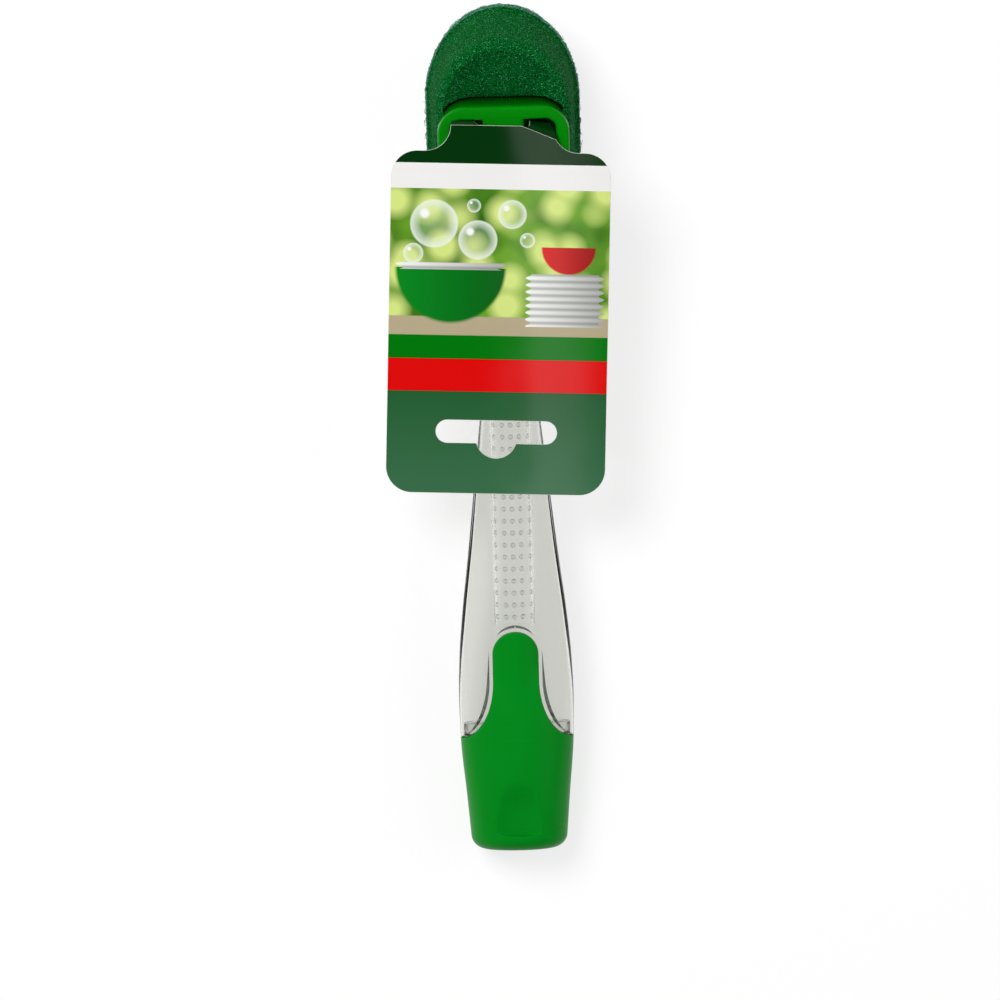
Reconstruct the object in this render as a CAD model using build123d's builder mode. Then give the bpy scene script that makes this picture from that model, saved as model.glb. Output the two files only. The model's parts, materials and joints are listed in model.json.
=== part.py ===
"""Soap-dispensing dish wand, lying on its back, with its folded hang card.

Millimetres. +X runs across the wand, +Y along it from the grip cap towards the
toe of the scrubbing head, and +Z up. The wand lies on its scouring pad's heel
and on the end of its cap, so its axis climbs a little towards the head. The
origin is on the resting surface, under the middle of the whole object.

Most places are given in the wand's own frame: across it, along its axis from
the cap's end, and above the axis. The head has a frame of its own, tipped up
towards its toe and measured from the scrub face.
"""
import os
from math import asin, atan2, cos, hypot, radians, sin, tan

from build123d import *

# Clear reservoir handle
neck_radius = 6.9
reservoir_wall = 1.9
swell_length = 170.0
belly_half_width = 18.45
belly_depth = 12.3
front_rise = 13.3
widest_drop = 4.0
neck_end = 216.0
ridge_bore_end = 205.0

# Stations of the swell, from the cap's end to where it melts into the neck:
# share of its length, of its half width, of its front rise, of its back depth
swell_shares = (
    (0.000, 0.818, 0.925, 0.797),
    (0.100, 0.894, 1.000, 0.878),
    (0.215, 0.984, 0.977, 0.967),
    (0.294, 1.000, 0.857, 1.000),
    (0.365, 0.976, 0.647, 0.967),
    (0.435, 0.921, 0.436, 0.911),
    (0.565, 0.780, 0.361, 0.764),
    (0.706, 0.634, 0.316, 0.569),
    (0.853, 0.482, 0.278, 0.374),
    (1.000, 0.293, 0.226, 0.179),
)
first_cavity_station = 1
last_seat_station = 4
last_cavity_station = 8

# Outlet spigot at the head end of the handle
spigot_length = 15.0
spigot_radius = 4.65
outlet_radius = 2.2
running_fit = 0.05
neck_ring_thickness = 1.3
neck_ring_place = 6.0
ring_squeeze = 0.02
valve_seat_radius = 3.5
valve_seat_depth = 3.4
valve_lip_thickness = 1.2
valve_dish_radius = 1.9
valve_slit_width = 0.25
valve_slit_length = 2.4
retainer_height = 1.9
retainer_bore = 2.3

# Grip cap with its front tongue and thumb recess
cap_length = 36.5
cap_floor = 3.2
cap_end_round = 4.4
cap_hollow_half_width = 13.2
cap_hollow_half_height = 9.2
tongue_reach = 70.9
tongue_half_width = 7.4
tongue_crown_half_width = 9.6
tongue_crown_rise = 8.2
tongue_crown_drop = 1.0
tongue_swoop_start = 55.0
tongue_border = 1.1
seat_half_width = 17.0
seat_rise = 8.0
seat_clearance = 0.2
split_gap = 0.3
thumb_ledge_place = 5.9
thumb_top_place = 23.0
thumb_depth = 0.8

# Filling collar in the reservoir's open end, and the cap's stopper
collar_thickness = 4.0
collar_fit = 0.1
fill_axis_drop = 3.2
fill_neck_radius = 7.0
fill_bore_radius = 5.7
fill_neck_length = 15.0
stopper_fit = 0.06
stopper_plug_length = 11.0
stopper_tip_gap = 0.5
stopper_stem_radius = 4.4
stopper_flange_radius = 8.6
stopper_flange_thickness = 2.0
stopper_hollow_radius = 2.8
stopper_ring_thickness = 1.6
stopper_ring_place = 5.0

# Base of the scrubbing head
head_tilt = 12.0
head_start = 234.8
rim_width = 4.2
rim_above_axis = 6.6
rim_round = 1.0
base_half_width = 21.0
base_length = 41.4
base_corner = 9.0
base_inner_corner = 3.4
base_heel_corner = 2.2
rim_above_floor_plate = 14.0
floor_plate = 2.0
socket_width = 13.3
socket_below_axis = 6.4
socket_corner = 1.5
socket_gap = 0.2
socket_root = 3.0
bore_end_gap = 1.5
chamber_radius = 2.6
duct_radius = 1.6
duct_place = 2.2
duct_block_width = 8.0
duct_block_wall = 1.0
duct_block_height = 2.4

# Foam and scouring layer
rim_above_scrub_face = 30.3
scourer_thickness = 3.3
scourer_round = 1.6
glue_gap = 0.2
foam_crest = 22.0
pad_half_width = 24.8
pad_toe = 31.0
pad_heel = 44.7
pad_toe_depth = 31.0
pad_heel_corner = 13.0
foam_side_inset = 2.2
foam_toe_inset = 8.0
foam_heel_inset = 3.0
foam_round = 3.6
foam_pocket_gap = 0.3
soap_well_radius = 4.0
soap_well_depth = 6.0

# Folded hang card
card_thickness = 0.45
card_width = 70.0
card_length = 117.5
card_corner = 8.3
card_skew = -2.4
card_across = -0.4
card_neck_width = 32.6
card_notch = 8.0
card_neck_straight = 0.3
crease_place = 233.1
crease_gap = 0.35
card_above_axis = 7.6
peg_slot_width = 38.6
peg_slot_height = 7.3
peg_slot_edge = 19.8
peg_bump_radius = 6.5
peg_bump_drop = 1.9
strip_width = 28.6
neck_slot_width = 18.0
neck_slot_corner = 2.0
neck_slot_margin = 0.35
flap_length = 24.0
flap_slope = 4.0

# One overrun carries every cut clear through
overrun = 5.0

# The head's frame: distance from the rim's inner edge at the toe, and height
# above the scrub face, given as a place along and above the wand's axis
tilt_sine, tilt_cosine = sin(radians(head_tilt)), cos(radians(head_tilt))


def head_point(along, above):
    """Give the wand's place of a point of the head's own frame."""
    drop = above - rim_above_scrub_face
    return (head_start + along * tilt_cosine - drop * tilt_sine,
            rim_above_axis + along * tilt_sine + drop * tilt_cosine)


# The wand rests on two rounded edges: the cap's end, where it flares towards
# the belly, and the pad's heel
cap_under = widest_drop + belly_depth * swell_shares[0][3]
cap_flare = atan2(belly_depth * (swell_shares[1][3] - swell_shares[0][3]),
                  swell_length * swell_shares[1][0])
cap_rest = (cap_end_round,
            cap_end_round / cos(cap_flare) - cap_end_round * tan(cap_flare)
            - cap_under)
heel_rest = head_point(scourer_round - pad_heel, scourer_round)
rest_run = heel_rest[0] - cap_rest[0]
rest_rise = heel_rest[1] - cap_rest[1]
pitch = (asin((scourer_round - cap_end_round) / hypot(rest_run, rest_rise))
         - atan2(rest_rise, rest_run))
axis_height = (cap_end_round - cap_rest[0] * sin(pitch)
               - cap_rest[1] * cos(pitch))

# The middle of the object lies over the origin
toe_place = head_point(pad_toe, scourer_thickness)
reach = toe_place[0] * cos(pitch) - toe_place[1] * sin(pitch)
skew = radians(card_skew)
side_shift = -card_across - card_length * sin(skew) / 2
wand = Plane(origin=(side_shift, -reach / 2, axis_height), x_dir=(1, 0, 0),
             z_dir=(0, -sin(pitch), cos(pitch)))


def place(along, above=0.0, across=0.0):
    """Give the point at a place of the wand's frame."""
    return wand.from_local_coords(Vector(across, along, above))


def section(along, above=0.0):
    """Plane across the wand, its y up and its normal towards the cap."""
    return Plane(origin=place(along, above), x_dir=(1, 0, 0), z_dir=-wand.y_dir)


def head_plane(above):
    """Plane of the head at a height above the scrub face, its y to the toe."""
    along, up = head_point(0, above)
    normal = place(-tilt_sine, tilt_cosine) - wand.origin
    return Plane(origin=place(along, up), x_dir=(1, 0, 0), z_dir=normal)


# Lengthwise plane, its x along the axis and its y up
profile = Plane(origin=wand.origin, x_dir=wand.y_dir, z_dir=(1, 0, 0))
neck_axis = Axis(wand.origin, wand.y_dir)
fill_axis = Axis(place(0, -fill_axis_drop), wand.y_dir)
card_frame = Plane(origin=place(crease_place, 0, card_across),
                   x_dir=place(sin(skew), 0, cos(skew)) - wand.origin,
                   z_dir=wand.z_dir)


def half_ellipses(plane, half, rise, depth):
    """Draw a closed section of two half ellipses on one width."""
    with BuildSketch(plane) as face:
        with BuildLine():
            EllipticalCenterArc((0, 0), half, rise, 0, arc_size=180)
            EllipticalCenterArc((0, 0), half, depth, 180, arc_size=180)
        make_face()
    return face.sketch


def swell_section(station, inset=0.0, rise=None):
    """Draw one station of the swell, drawn in by a wall all round."""
    along, width_share, rise_share, depth_share = station
    outer_rise = front_rise * rise_share - inset
    return half_ellipses(section(swell_length * along, -widest_drop),
                         belly_half_width * width_share - inset,
                         outer_rise if rise is None else rise,
                         belly_depth * depth_share - inset)


def inner_sections(inset):
    """Draw the reservoir's hollow, kept under the tongue's seat by a wall."""
    faces = []
    for number in range(first_cavity_station, last_cavity_station + 1):
        under_seat = seat_rise - inset if number <= last_seat_station else None
        faces.append(swell_section(swell_shares[number], inset, under_seat))
    return faces


def tongue_outline(border):
    """Draw the cap's tongue from above, with its swoop down to both sides."""
    half = tongue_half_width + border
    tip = tongue_reach + border - half
    side = belly_half_width + border
    swoop_width = side - half
    swoop_height = tongue_swoop_start - cap_length
    with BuildSketch(wand.offset(-widest_drop)) as outline:
        with BuildLine():
            Line((half, tongue_swoop_start), (half, tip))
            ThreePointArc((half, tip), (0, tip + half), (-half, tip))
            Line((-half, tip), (-half, tongue_swoop_start))
            EllipticalCenterArc((-side, tongue_swoop_start), swoop_width,
                                swoop_height, 270, arc_size=90)
            Polyline((-side, cap_length), (-side, cap_length - overrun),
                     (side, cap_length - overrun), (side, cap_length))
            EllipticalCenterArc((side, tongue_swoop_start), swoop_width,
                                swoop_height, 180, arc_size=90)
        make_face()
    return outline.sketch


def seat_form(clearance):
    """Build the arch under the tongue, from the split up past its tip."""
    seat_end = tongue_reach + overrun
    arch = half_ellipses(section(seat_end, -widest_drop),
                         seat_half_width + clearance, seat_rise + clearance,
                         belly_depth)
    return extrude(arch, amount=seat_end - cap_length)


# Outer form of the whole grip: the swell and the round ridge along its front
with BuildPart() as grip_form:
    loft([swell_section(station) for station in swell_shares], ruled=True)
    with BuildSketch(section(neck_end)) as ridge_round:
        Circle(neck_radius)
    extrude(amount=neck_end - cap_length)

tongue_tall = widest_drop + front_rise + overrun

# Inside of the reservoir, with the ridge hollow as far as the tongue's tip
ridge_hollow_start = tongue_reach + tongue_border + reservoir_wall
with BuildPart() as cavity:
    loft(inner_sections(reservoir_wall), ruled=True)
    with BuildSketch(section(ridge_bore_end)) as ridge_bore:
        Circle(neck_radius - reservoir_wall)
    extrude(amount=ridge_bore_end - ridge_hollow_start)

with BuildPart() as tongue_recess:
    extrude(tongue_outline(tongue_border), amount=tongue_tall)
    add(seat_form(0), mode=Mode.SUBTRACT)

# Clear shell: swell, ridge, neck and outlet spigot in one moulding
shell_start = cap_length + split_gap
spigot_end = neck_end + spigot_length
socket_bore = spigot_radius + running_fit
neck_ring_line = socket_bore - ring_squeeze - neck_ring_thickness / 2
neck_ring_at = neck_end + neck_ring_place
neck_groove_floor = neck_ring_line - neck_ring_thickness / 2 - ring_squeeze
with BuildPart() as reservoir_shell:
    add(grip_form.part)
    split(bisect_by=section(shell_start), keep=Keep.BOTTOM)
    add(tongue_recess.part, mode=Mode.SUBTRACT)
    add(cavity.part, mode=Mode.SUBTRACT)
    with BuildSketch(section(spigot_end)) as spigot_round:
        Circle(spigot_radius)
    extrude(amount=spigot_length)
    with BuildSketch(section(spigot_end)) as outlet_round:
        Circle(outlet_radius)
    extrude(amount=spigot_end - ridge_bore_end + outlet_radius,
            mode=Mode.SUBTRACT)
    with BuildSketch(section(spigot_end)) as seat_round:
        Circle(valve_seat_radius)
    extrude(amount=valve_seat_depth, mode=Mode.SUBTRACT)
    with BuildSketch(profile) as neck_groove:
        with Locations((neck_ring_at, (neck_groove_floor + socket_bore) / 2)):
            Rectangle(neck_ring_thickness + 2 * ring_squeeze,
                      socket_bore - neck_groove_floor)
    revolve(axis=neck_axis, mode=Mode.SUBTRACT)
reservoir_shell.part.label = "reservoir_shell"

# Rubber ring that seals the spigot in the head's socket
with BuildPart(section(neck_ring_at)) as neck_seal_ring:
    Torus(neck_ring_line, neck_ring_thickness / 2)
neck_seal_ring.part.label = "neck_seal_ring"

# Silicone slit valve in the spigot's mouth, dished on the side of the head
valve_floor = spigot_end - valve_seat_depth
valve_top = valve_floor + valve_lip_thickness
valve_radius = valve_seat_radius - running_fit
with BuildPart() as dose_valve:
    with BuildSketch(section(valve_top)) as lip_round:
        Circle(valve_radius)
    extrude(amount=valve_lip_thickness)
    with BuildSketch(section(valve_top)) as dish:
        Circle(valve_dish_radius)
    extrude(amount=valve_lip_thickness / 2, mode=Mode.SUBTRACT)
    with BuildSketch(section(valve_top)) as slits:
        Rectangle(valve_slit_length, valve_slit_width)
        Rectangle(valve_slit_width, valve_slit_length)
    extrude(amount=valve_lip_thickness, mode=Mode.SUBTRACT)
dose_valve.part.label = "dose_valve"

# Push-in ring that holds the valve on its seat
with BuildPart() as valve_retainer:
    with BuildSketch(section(valve_top + retainer_height)) as retainer_round:
        Circle(valve_radius)
        Circle(retainer_bore, mode=Mode.SUBTRACT)
    extrude(amount=retainer_height)
valve_retainer.part.label = "valve_retainer"

# Collar that closes the shell's open end and carries the filling neck
collar_top = shell_start + collar_thickness
with BuildPart() as fill_collar:
    loft(inner_sections(reservoir_wall + collar_fit), ruled=True)
    split(bisect_by=section(collar_top), keep=Keep.TOP)
    split(bisect_by=section(shell_start), keep=Keep.BOTTOM)
    with BuildSketch(section(shell_start, -fill_axis_drop)) as fill_round:
        Circle(fill_neck_radius)
    extrude(amount=fill_neck_length)
    with BuildSketch(section(collar_top + overrun, -fill_axis_drop)) as fill_hole:
        Circle(fill_bore_radius)
    extrude(amount=overrun + collar_thickness + fill_neck_length + overrun,
            mode=Mode.SUBTRACT)
fill_collar.part.label = "fill_collar"

# Grip cap: a cup that carries on the handle's form, with the long front tongue
with BuildPart() as cap_cup:
    add(grip_form.part)
    split(bisect_by=section(cap_length), keep=Keep.TOP)
    cap_end_face = cap_cup.faces().sort_by(neck_axis)[0]
    fillet(cap_end_face.edges(), cap_end_round)

with BuildPart() as tongue_form:
    add(grip_form.part)
    crown_end = tongue_reach + tongue_border
    crown = half_ellipses(section(crown_end, -tongue_crown_drop),
                          tongue_crown_half_width, tongue_crown_rise,
                          tongue_crown_rise)
    extrude(crown, amount=crown_end - cap_length)

thumb_floor = front_rise * swell_shares[0][2] - widest_drop - thumb_depth
thumb_lip = front_rise - widest_drop
with BuildPart() as grip_cap:
    extrude(tongue_outline(0), amount=tongue_tall)
    add(tongue_form.part, mode=Mode.INTERSECT)
    add(seat_form(seat_clearance), mode=Mode.SUBTRACT)
    add(cap_cup.part)
    with BuildSketch(section(cap_length, -fill_axis_drop)) as hollow:
        Ellipse(cap_hollow_half_width, cap_hollow_half_height)
    extrude(amount=cap_length - cap_floor, mode=Mode.SUBTRACT)
    with BuildSketch(profile) as thumb_scoop:
        with BuildLine():
            Polyline((thumb_ledge_place, thumb_floor),
                     (thumb_ledge_place, thumb_lip + overrun),
                     (thumb_top_place, thumb_lip + overrun),
                     (thumb_top_place, thumb_lip), close=True)
        make_face()
    extrude(amount=belly_half_width, both=True, mode=Mode.SUBTRACT)
grip_cap.part.label = "grip_cap"

# Stopper fixed on the cap's floor, a hollow plug that fills the filling neck
plug_start = shell_start - fill_neck_length + stopper_tip_gap
plug_end = plug_start + stopper_plug_length
plug_radius = fill_bore_radius - stopper_fit
stopper_ring_line = (fill_bore_radius - ring_squeeze
                     - stopper_ring_thickness / 2)
stopper_groove_floor = (stopper_ring_line - stopper_ring_thickness / 2
                        - ring_squeeze)
stopper_ring_at = plug_start + stopper_ring_place
flange_end = cap_floor + stopper_flange_thickness
with BuildPart() as cap_stopper:
    with BuildSketch(section(flange_end, -fill_axis_drop)) as flange_round:
        Circle(stopper_flange_radius)
    extrude(amount=stopper_flange_thickness)
    with BuildSketch(section(plug_end, -fill_axis_drop)) as stem_round:
        Circle(stopper_stem_radius)
    extrude(amount=plug_end - flange_end)
    with BuildSketch(section(plug_end, -fill_axis_drop)) as plug_round:
        Circle(plug_radius)
    extrude(amount=stopper_plug_length)
    with BuildSketch(section(plug_end, -fill_axis_drop)) as plug_hollow:
        Circle(stopper_hollow_radius)
    extrude(amount=plug_end - flange_end, mode=Mode.SUBTRACT)
    groove_middle = (stopper_groove_floor + fill_bore_radius) / 2
    with BuildSketch(profile) as stopper_groove:
        with Locations((stopper_ring_at, groove_middle - fill_axis_drop)):
            Rectangle(stopper_ring_thickness + 2 * ring_squeeze,
                      fill_bore_radius - stopper_groove_floor)
    revolve(axis=fill_axis, mode=Mode.SUBTRACT)
cap_stopper.part.label = "cap_stopper"

# Rubber ring round the stopper
with BuildPart(section(stopper_ring_at, -fill_axis_drop)) as stopper_seal_ring:
    Torus(stopper_ring_line, stopper_ring_thickness / 2)
stopper_seal_ring.part.label = "stopper_seal_ring"

# Base of the head: a floor plate under a raised rim that is open at the heel,
# with a socket for the spigot and a duct that brings the soap down to the foam
plate_top = rim_above_scrub_face - rim_above_floor_plate
plate_bottom = plate_top - floor_plate


def base_outline(plane, margin):
    """Draw the base's outer outline, grown by a margin."""
    half = base_half_width + margin
    toe = rim_width + margin
    heel = rim_width - base_length - margin
    with BuildSketch(plane) as outline:
        with Locations((0, (toe + heel) / 2)):
            Rectangle(2 * half, toe - heel)
        fillet(outline.vertices().sort_by(neck_axis)[-2:], base_corner + margin)
        fillet(outline.vertices().sort_by(neck_axis)[:2],
               base_heel_corner + margin)
    return outline.sketch


with BuildPart() as head_base:
    extrude(base_outline(head_plane(plate_bottom), 0),
            amount=rim_above_scrub_face - plate_bottom)
    with BuildSketch(head_plane(plate_top)) as gutter:
        with Locations((0, -base_length / 2)):
            Rectangle(2 * (base_half_width - rim_width), base_length)
        fillet(gutter.vertices().sort_by(neck_axis)[-2:], base_inner_corner)
    extrude(amount=rim_above_floor_plate + overrun, mode=Mode.SUBTRACT)
    rim_face = head_base.faces().sort_by(Axis(wand.origin, head_plane(0).z_dir))[-1]
    fillet(rim_face.edges(), rim_round)
    socket_start = neck_end + socket_gap
    socket_end = head_start + socket_root
    with BuildSketch(section(socket_end, (rim_above_axis - socket_below_axis) / 2)):
        RectangleRounded(socket_width, rim_above_axis + socket_below_axis,
                         socket_corner)
    extrude(amount=socket_end - socket_start)
    duct_at = head_start + duct_place
    block_start = duct_at - duct_radius - duct_block_wall
    with BuildSketch(wand.offset(-socket_below_axis)) as duct_block:
        with Locations((0, (block_start + socket_end) / 2)):
            Rectangle(duct_block_width, socket_end - block_start)
    extrude(amount=-duct_block_height)
    bore_end = spigot_end + bore_end_gap
    with BuildSketch(section(bore_end)) as bore_round:
        Circle(socket_bore)
    extrude(amount=bore_end - socket_start + overrun, mode=Mode.SUBTRACT)
    with BuildSketch(section(duct_at + duct_radius / 2)) as chamber_round:
        Circle(chamber_radius)
    extrude(amount=duct_at - bore_end + overrun, mode=Mode.SUBTRACT)
    with BuildSketch(wand) as duct_round:
        with Locations((0, duct_at)):
            Circle(duct_radius)
    extrude(amount=-rim_above_scrub_face, mode=Mode.SUBTRACT)
head_base.part.label = "head_base"


def pad_outline(plane, side_inset, toe_inset, heel_inset):
    """Draw the pad's outline: a long round toe, straight sides, a round heel."""
    half = pad_half_width - side_inset
    toe_depth = pad_toe_depth - toe_inset
    toe_base = pad_toe - pad_toe_depth
    heel = heel_inset - pad_heel
    corner = pad_heel_corner - side_inset
    with BuildSketch(plane) as outline:
        with BuildLine():
            EllipticalCenterArc((0, toe_base), half, toe_depth, 0, arc_size=180)
            Line((-half, toe_base), (-half, heel + corner))
            TangentArc((-half, heel + corner), (corner - half, heel),
                       tangent=(0, -1))
            Line((corner - half, heel), (half - corner, heel))
            TangentArc((half - corner, heel), (half, heel + corner),
                       tangent=(1, 0))
            Line((half, heel + corner), (half, toe_base))
        make_face()
    return outline.sketch


head_up_axis = Axis(wand.origin, head_plane(0).z_dir)

# Scouring layer under the foam, round along its lower edge
with BuildPart() as scour_pad:
    extrude(pad_outline(head_plane(0), 0, 0, 0), amount=scourer_thickness)
    fillet(scour_pad.faces().sort_by(head_up_axis)[0].edges(), scourer_round)
scour_pad.part.label = "scour_pad"

# Foam body, drawn in towards its round crest and hollowed for the base
foam_bottom = scourer_thickness + glue_gap
with BuildPart() as sponge_foam:
    loft([pad_outline(head_plane(foam_bottom), 0, 0, 0),
          pad_outline(head_plane(foam_crest), foam_side_inset, foam_toe_inset,
                      foam_heel_inset)])
    fillet(sponge_foam.faces().sort_by(head_up_axis)[-1].edges(), foam_round)
    extrude(base_outline(head_plane(plate_bottom - glue_gap), foam_pocket_gap),
            amount=foam_crest, mode=Mode.SUBTRACT)
    with BuildSketch(wand) as well_round:
        with Locations((0, duct_at)):
            Circle(soap_well_radius)
    well_floor = head_point(0, plate_bottom - soap_well_depth)[1]
    extrude(amount=well_floor, mode=Mode.SUBTRACT)
sponge_foam.part.label = "sponge_foam"

# Hang card: the front panel below its crease, with a slot for a peg hook
card_plane = card_frame.offset(card_above_axis)
neck_side = card_neck_width / 2
card_side = card_width / 2
notch_side = neck_side + card_notch
notch_end = -card_neck_straight - card_notch
with BuildPart() as card_panel:
    with BuildSketch(card_plane) as panel_outline:
        with BuildLine():
            Polyline((0, 0), (neck_side, 0), (neck_side, -card_neck_straight))
            TangentArc((neck_side, -card_neck_straight), (notch_side, notch_end),
                       tangent=(0, -1))
            Line((notch_side, notch_end), (card_side - card_corner, notch_end))
            TangentArc((card_side - card_corner, notch_end),
                       (card_side, notch_end - card_corner), tangent=(1, 0))
            Line((card_side, notch_end - card_corner),
                 (card_side, card_corner - card_length))
            TangentArc((card_side, card_corner - card_length),
                       (card_side - card_corner, -card_length),
                       tangent=(0, -1))
            Line((card_side - card_corner, -card_length), (0, -card_length))
            mirror(about=Plane.YZ)
        make_face()
    extrude(amount=card_thickness)
    slot_centre = peg_slot_edge - card_length
    with BuildSketch(card_plane) as peg_slot:
        with Locations((0, slot_centre - peg_bump_drop)):
            Circle(peg_bump_radius)
        with Locations((0, slot_centre + peg_slot_height / 2)):
            Rectangle(peg_slot_width, peg_slot_height,
                      align=(Align.CENTER, Align.MIN), mode=Mode.SUBTRACT)
        with Locations((0, slot_centre)):
            SlotOverall(peg_slot_width, peg_slot_height)
    extrude(amount=card_thickness, mode=Mode.SUBTRACT)
card_panel.part.label = "card_panel"

# Hang card: the strip that folds down round the socket, and its short flap
flap_fold = -socket_below_axis - neck_slot_margin
flap_cosine, flap_sine = cos(radians(flap_slope)), sin(radians(flap_slope))
flap_tip = (crease_gap - flap_length * flap_cosine,
            flap_fold - flap_length * flap_sine)
card_side_plane = Plane(origin=card_frame.origin, x_dir=card_frame.y_dir,
                        z_dir=card_frame.x_dir)
with BuildPart() as card_flap:
    with BuildSketch(card_side_plane) as strip_profile:
        with BuildLine():
            Polyline((crease_gap, card_above_axis + card_thickness),
                     (crease_gap + card_thickness,
                      card_above_axis + card_thickness),
                     (crease_gap + card_thickness, flap_fold - card_thickness),
                     (flap_tip[0] + card_thickness * flap_sine,
                      flap_tip[1] - card_thickness * flap_cosine),
                     flap_tip, (crease_gap, flap_fold), close=True)
        make_face()
    extrude(amount=strip_width / 2, both=True)
    slot_height = card_above_axis + card_thickness + overrun - flap_fold
    slot_plane = Plane(origin=card_frame.origin, x_dir=card_frame.x_dir,
                       z_dir=-card_frame.y_dir)
    with BuildSketch(slot_plane) as neck_slot:
        with Locations((0, flap_fold + slot_height / 2)):
            RectangleRounded(neck_slot_width, slot_height, neck_slot_corner)
    extrude(amount=overrun, both=True, mode=Mode.SUBTRACT)
card_flap.part.label = "card_flap"

os.makedirs("parts", exist_ok=True)
export_step(reservoir_shell.part, "parts/reservoir_shell.step")
export_step(neck_seal_ring.part, "parts/neck_seal_ring.step")
export_step(dose_valve.part, "parts/dose_valve.step")
export_step(valve_retainer.part, "parts/valve_retainer.step")
export_step(fill_collar.part, "parts/fill_collar.step")
export_step(grip_cap.part, "parts/grip_cap.step")
export_step(cap_stopper.part, "parts/cap_stopper.step")
export_step(stopper_seal_ring.part, "parts/stopper_seal_ring.step")
export_step(head_base.part, "parts/head_base.step")
export_step(sponge_foam.part, "parts/sponge_foam.step")
export_step(scour_pad.part, "parts/scour_pad.step")
export_step(card_panel.part, "parts/card_panel.step")
export_step(card_flap.part, "parts/card_flap.step")
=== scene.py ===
"""Soap-dispensing dish wand on a pale floor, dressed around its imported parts.

Lengths in the classes are millimetres in the frame that each class names: the
wand's (across, along from the cap's end, above the axis), the head's (across,
along from the rim's inner edge, above the scrub face) or the hang card's
(across, along from the crease, above the axis). Finished meshes are in metres
in the row frame.
"""
import json
import logging
import math
from dataclasses import dataclass, field
from enum import Enum

import bmesh
import bpy
import numpy as np
from mathutils import Matrix, Vector, noise


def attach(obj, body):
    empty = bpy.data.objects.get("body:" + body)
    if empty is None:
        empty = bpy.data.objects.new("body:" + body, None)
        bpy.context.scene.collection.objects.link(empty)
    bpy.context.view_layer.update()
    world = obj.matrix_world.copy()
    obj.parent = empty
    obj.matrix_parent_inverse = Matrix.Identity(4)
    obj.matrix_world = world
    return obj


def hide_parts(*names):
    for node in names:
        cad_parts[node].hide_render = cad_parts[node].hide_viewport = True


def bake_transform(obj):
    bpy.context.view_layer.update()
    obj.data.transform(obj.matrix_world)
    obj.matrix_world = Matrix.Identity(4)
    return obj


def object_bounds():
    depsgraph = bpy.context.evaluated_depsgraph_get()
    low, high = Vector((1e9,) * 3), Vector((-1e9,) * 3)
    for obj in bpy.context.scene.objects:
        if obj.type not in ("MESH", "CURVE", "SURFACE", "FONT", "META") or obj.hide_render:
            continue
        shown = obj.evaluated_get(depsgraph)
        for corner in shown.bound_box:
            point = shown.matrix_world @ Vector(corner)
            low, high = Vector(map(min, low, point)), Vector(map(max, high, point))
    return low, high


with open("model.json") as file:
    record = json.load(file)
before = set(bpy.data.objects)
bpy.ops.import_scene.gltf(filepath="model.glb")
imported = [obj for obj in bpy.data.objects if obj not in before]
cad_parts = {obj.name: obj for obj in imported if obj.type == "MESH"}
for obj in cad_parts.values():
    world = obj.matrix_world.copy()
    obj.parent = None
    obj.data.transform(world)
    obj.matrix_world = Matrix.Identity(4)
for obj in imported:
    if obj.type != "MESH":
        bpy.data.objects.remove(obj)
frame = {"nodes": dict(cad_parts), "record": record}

Socket = bpy.types.NodeSocket
Tree = bpy.types.NodeTree
Piece = bpy.types.Object
Faces = list[tuple[int, ...]]
Colour = bpy.types.NodeSocket | str | tuple[float, ...]

log = logging.getLogger("dish_wand")
METRES = 0.001
TURN = 2 * math.pi
CAD_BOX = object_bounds()
BODY_OF = {node: body for body, nodes in frame["record"]["behaviour"]["bodies"].items()
           for node in nodes}


@dataclass(frozen=True)
class Placement:
    """Where the wand's, the head's and the card's own frames lie in the row frame."""

    across: float = 2.8602
    start: float = -135.408
    axis_height: float = 13.607
    pitch: float = 5.286
    head_start: float = 234.8
    head_tilt: float = 12.0
    rim_above_axis: float = 6.6
    rim_above_scrub_face: float = 30.3
    crease_place: float = 233.1
    card_across: float = -0.4
    card_skew: float = -2.4

    def wand(self) -> Matrix:
        """Turn the wand's millimetres into the row's metres."""
        origin = Matrix.Translation((self.across, self.start, self.axis_height))
        pitch = Matrix.Rotation(math.radians(self.pitch), 4, "X")
        return Matrix.Scale(METRES, 4) @ origin @ pitch

    def head(self) -> Matrix:
        """Turn the head's millimetres into the row's metres."""
        rim = Matrix.Translation((0, self.head_start, self.rim_above_axis))
        tilt = Matrix.Rotation(math.radians(self.head_tilt), 4, "X")
        return self.wand() @ rim @ tilt @ Matrix.Translation((0, 0, -self.rim_above_scrub_face))

    def card(self) -> Matrix:
        """Turn the card's millimetres into the row's metres."""
        skew = Matrix.Rotation(math.radians(self.card_skew), 4, "Z")
        crease = Matrix.Translation((self.card_across, self.crease_place, 0))
        return self.wand() @ crease @ skew


PLACES = Placement()


def soft_max(first: np.ndarray, second: np.ndarray, blend: float) -> np.ndarray:
    """Give the larger of two values, rounded over where they are alike.

    Args:
        first: one height or radius.
        second: the other.
        blend: how near they are where the rounding sets in.

    Returns:
        The blended values.
    """
    return (first + second + np.sqrt((first - second) ** 2 + blend ** 2)) / 2


def smooth_step(values: np.ndarray | float, start: float, end: float) -> np.ndarray:
    """Rise softly from nought at the start to one at the end."""
    share = np.clip((np.asarray(values, float) - start) / (end - start), 0, 1)
    return share * share * (3 - 2 * share)


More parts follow.
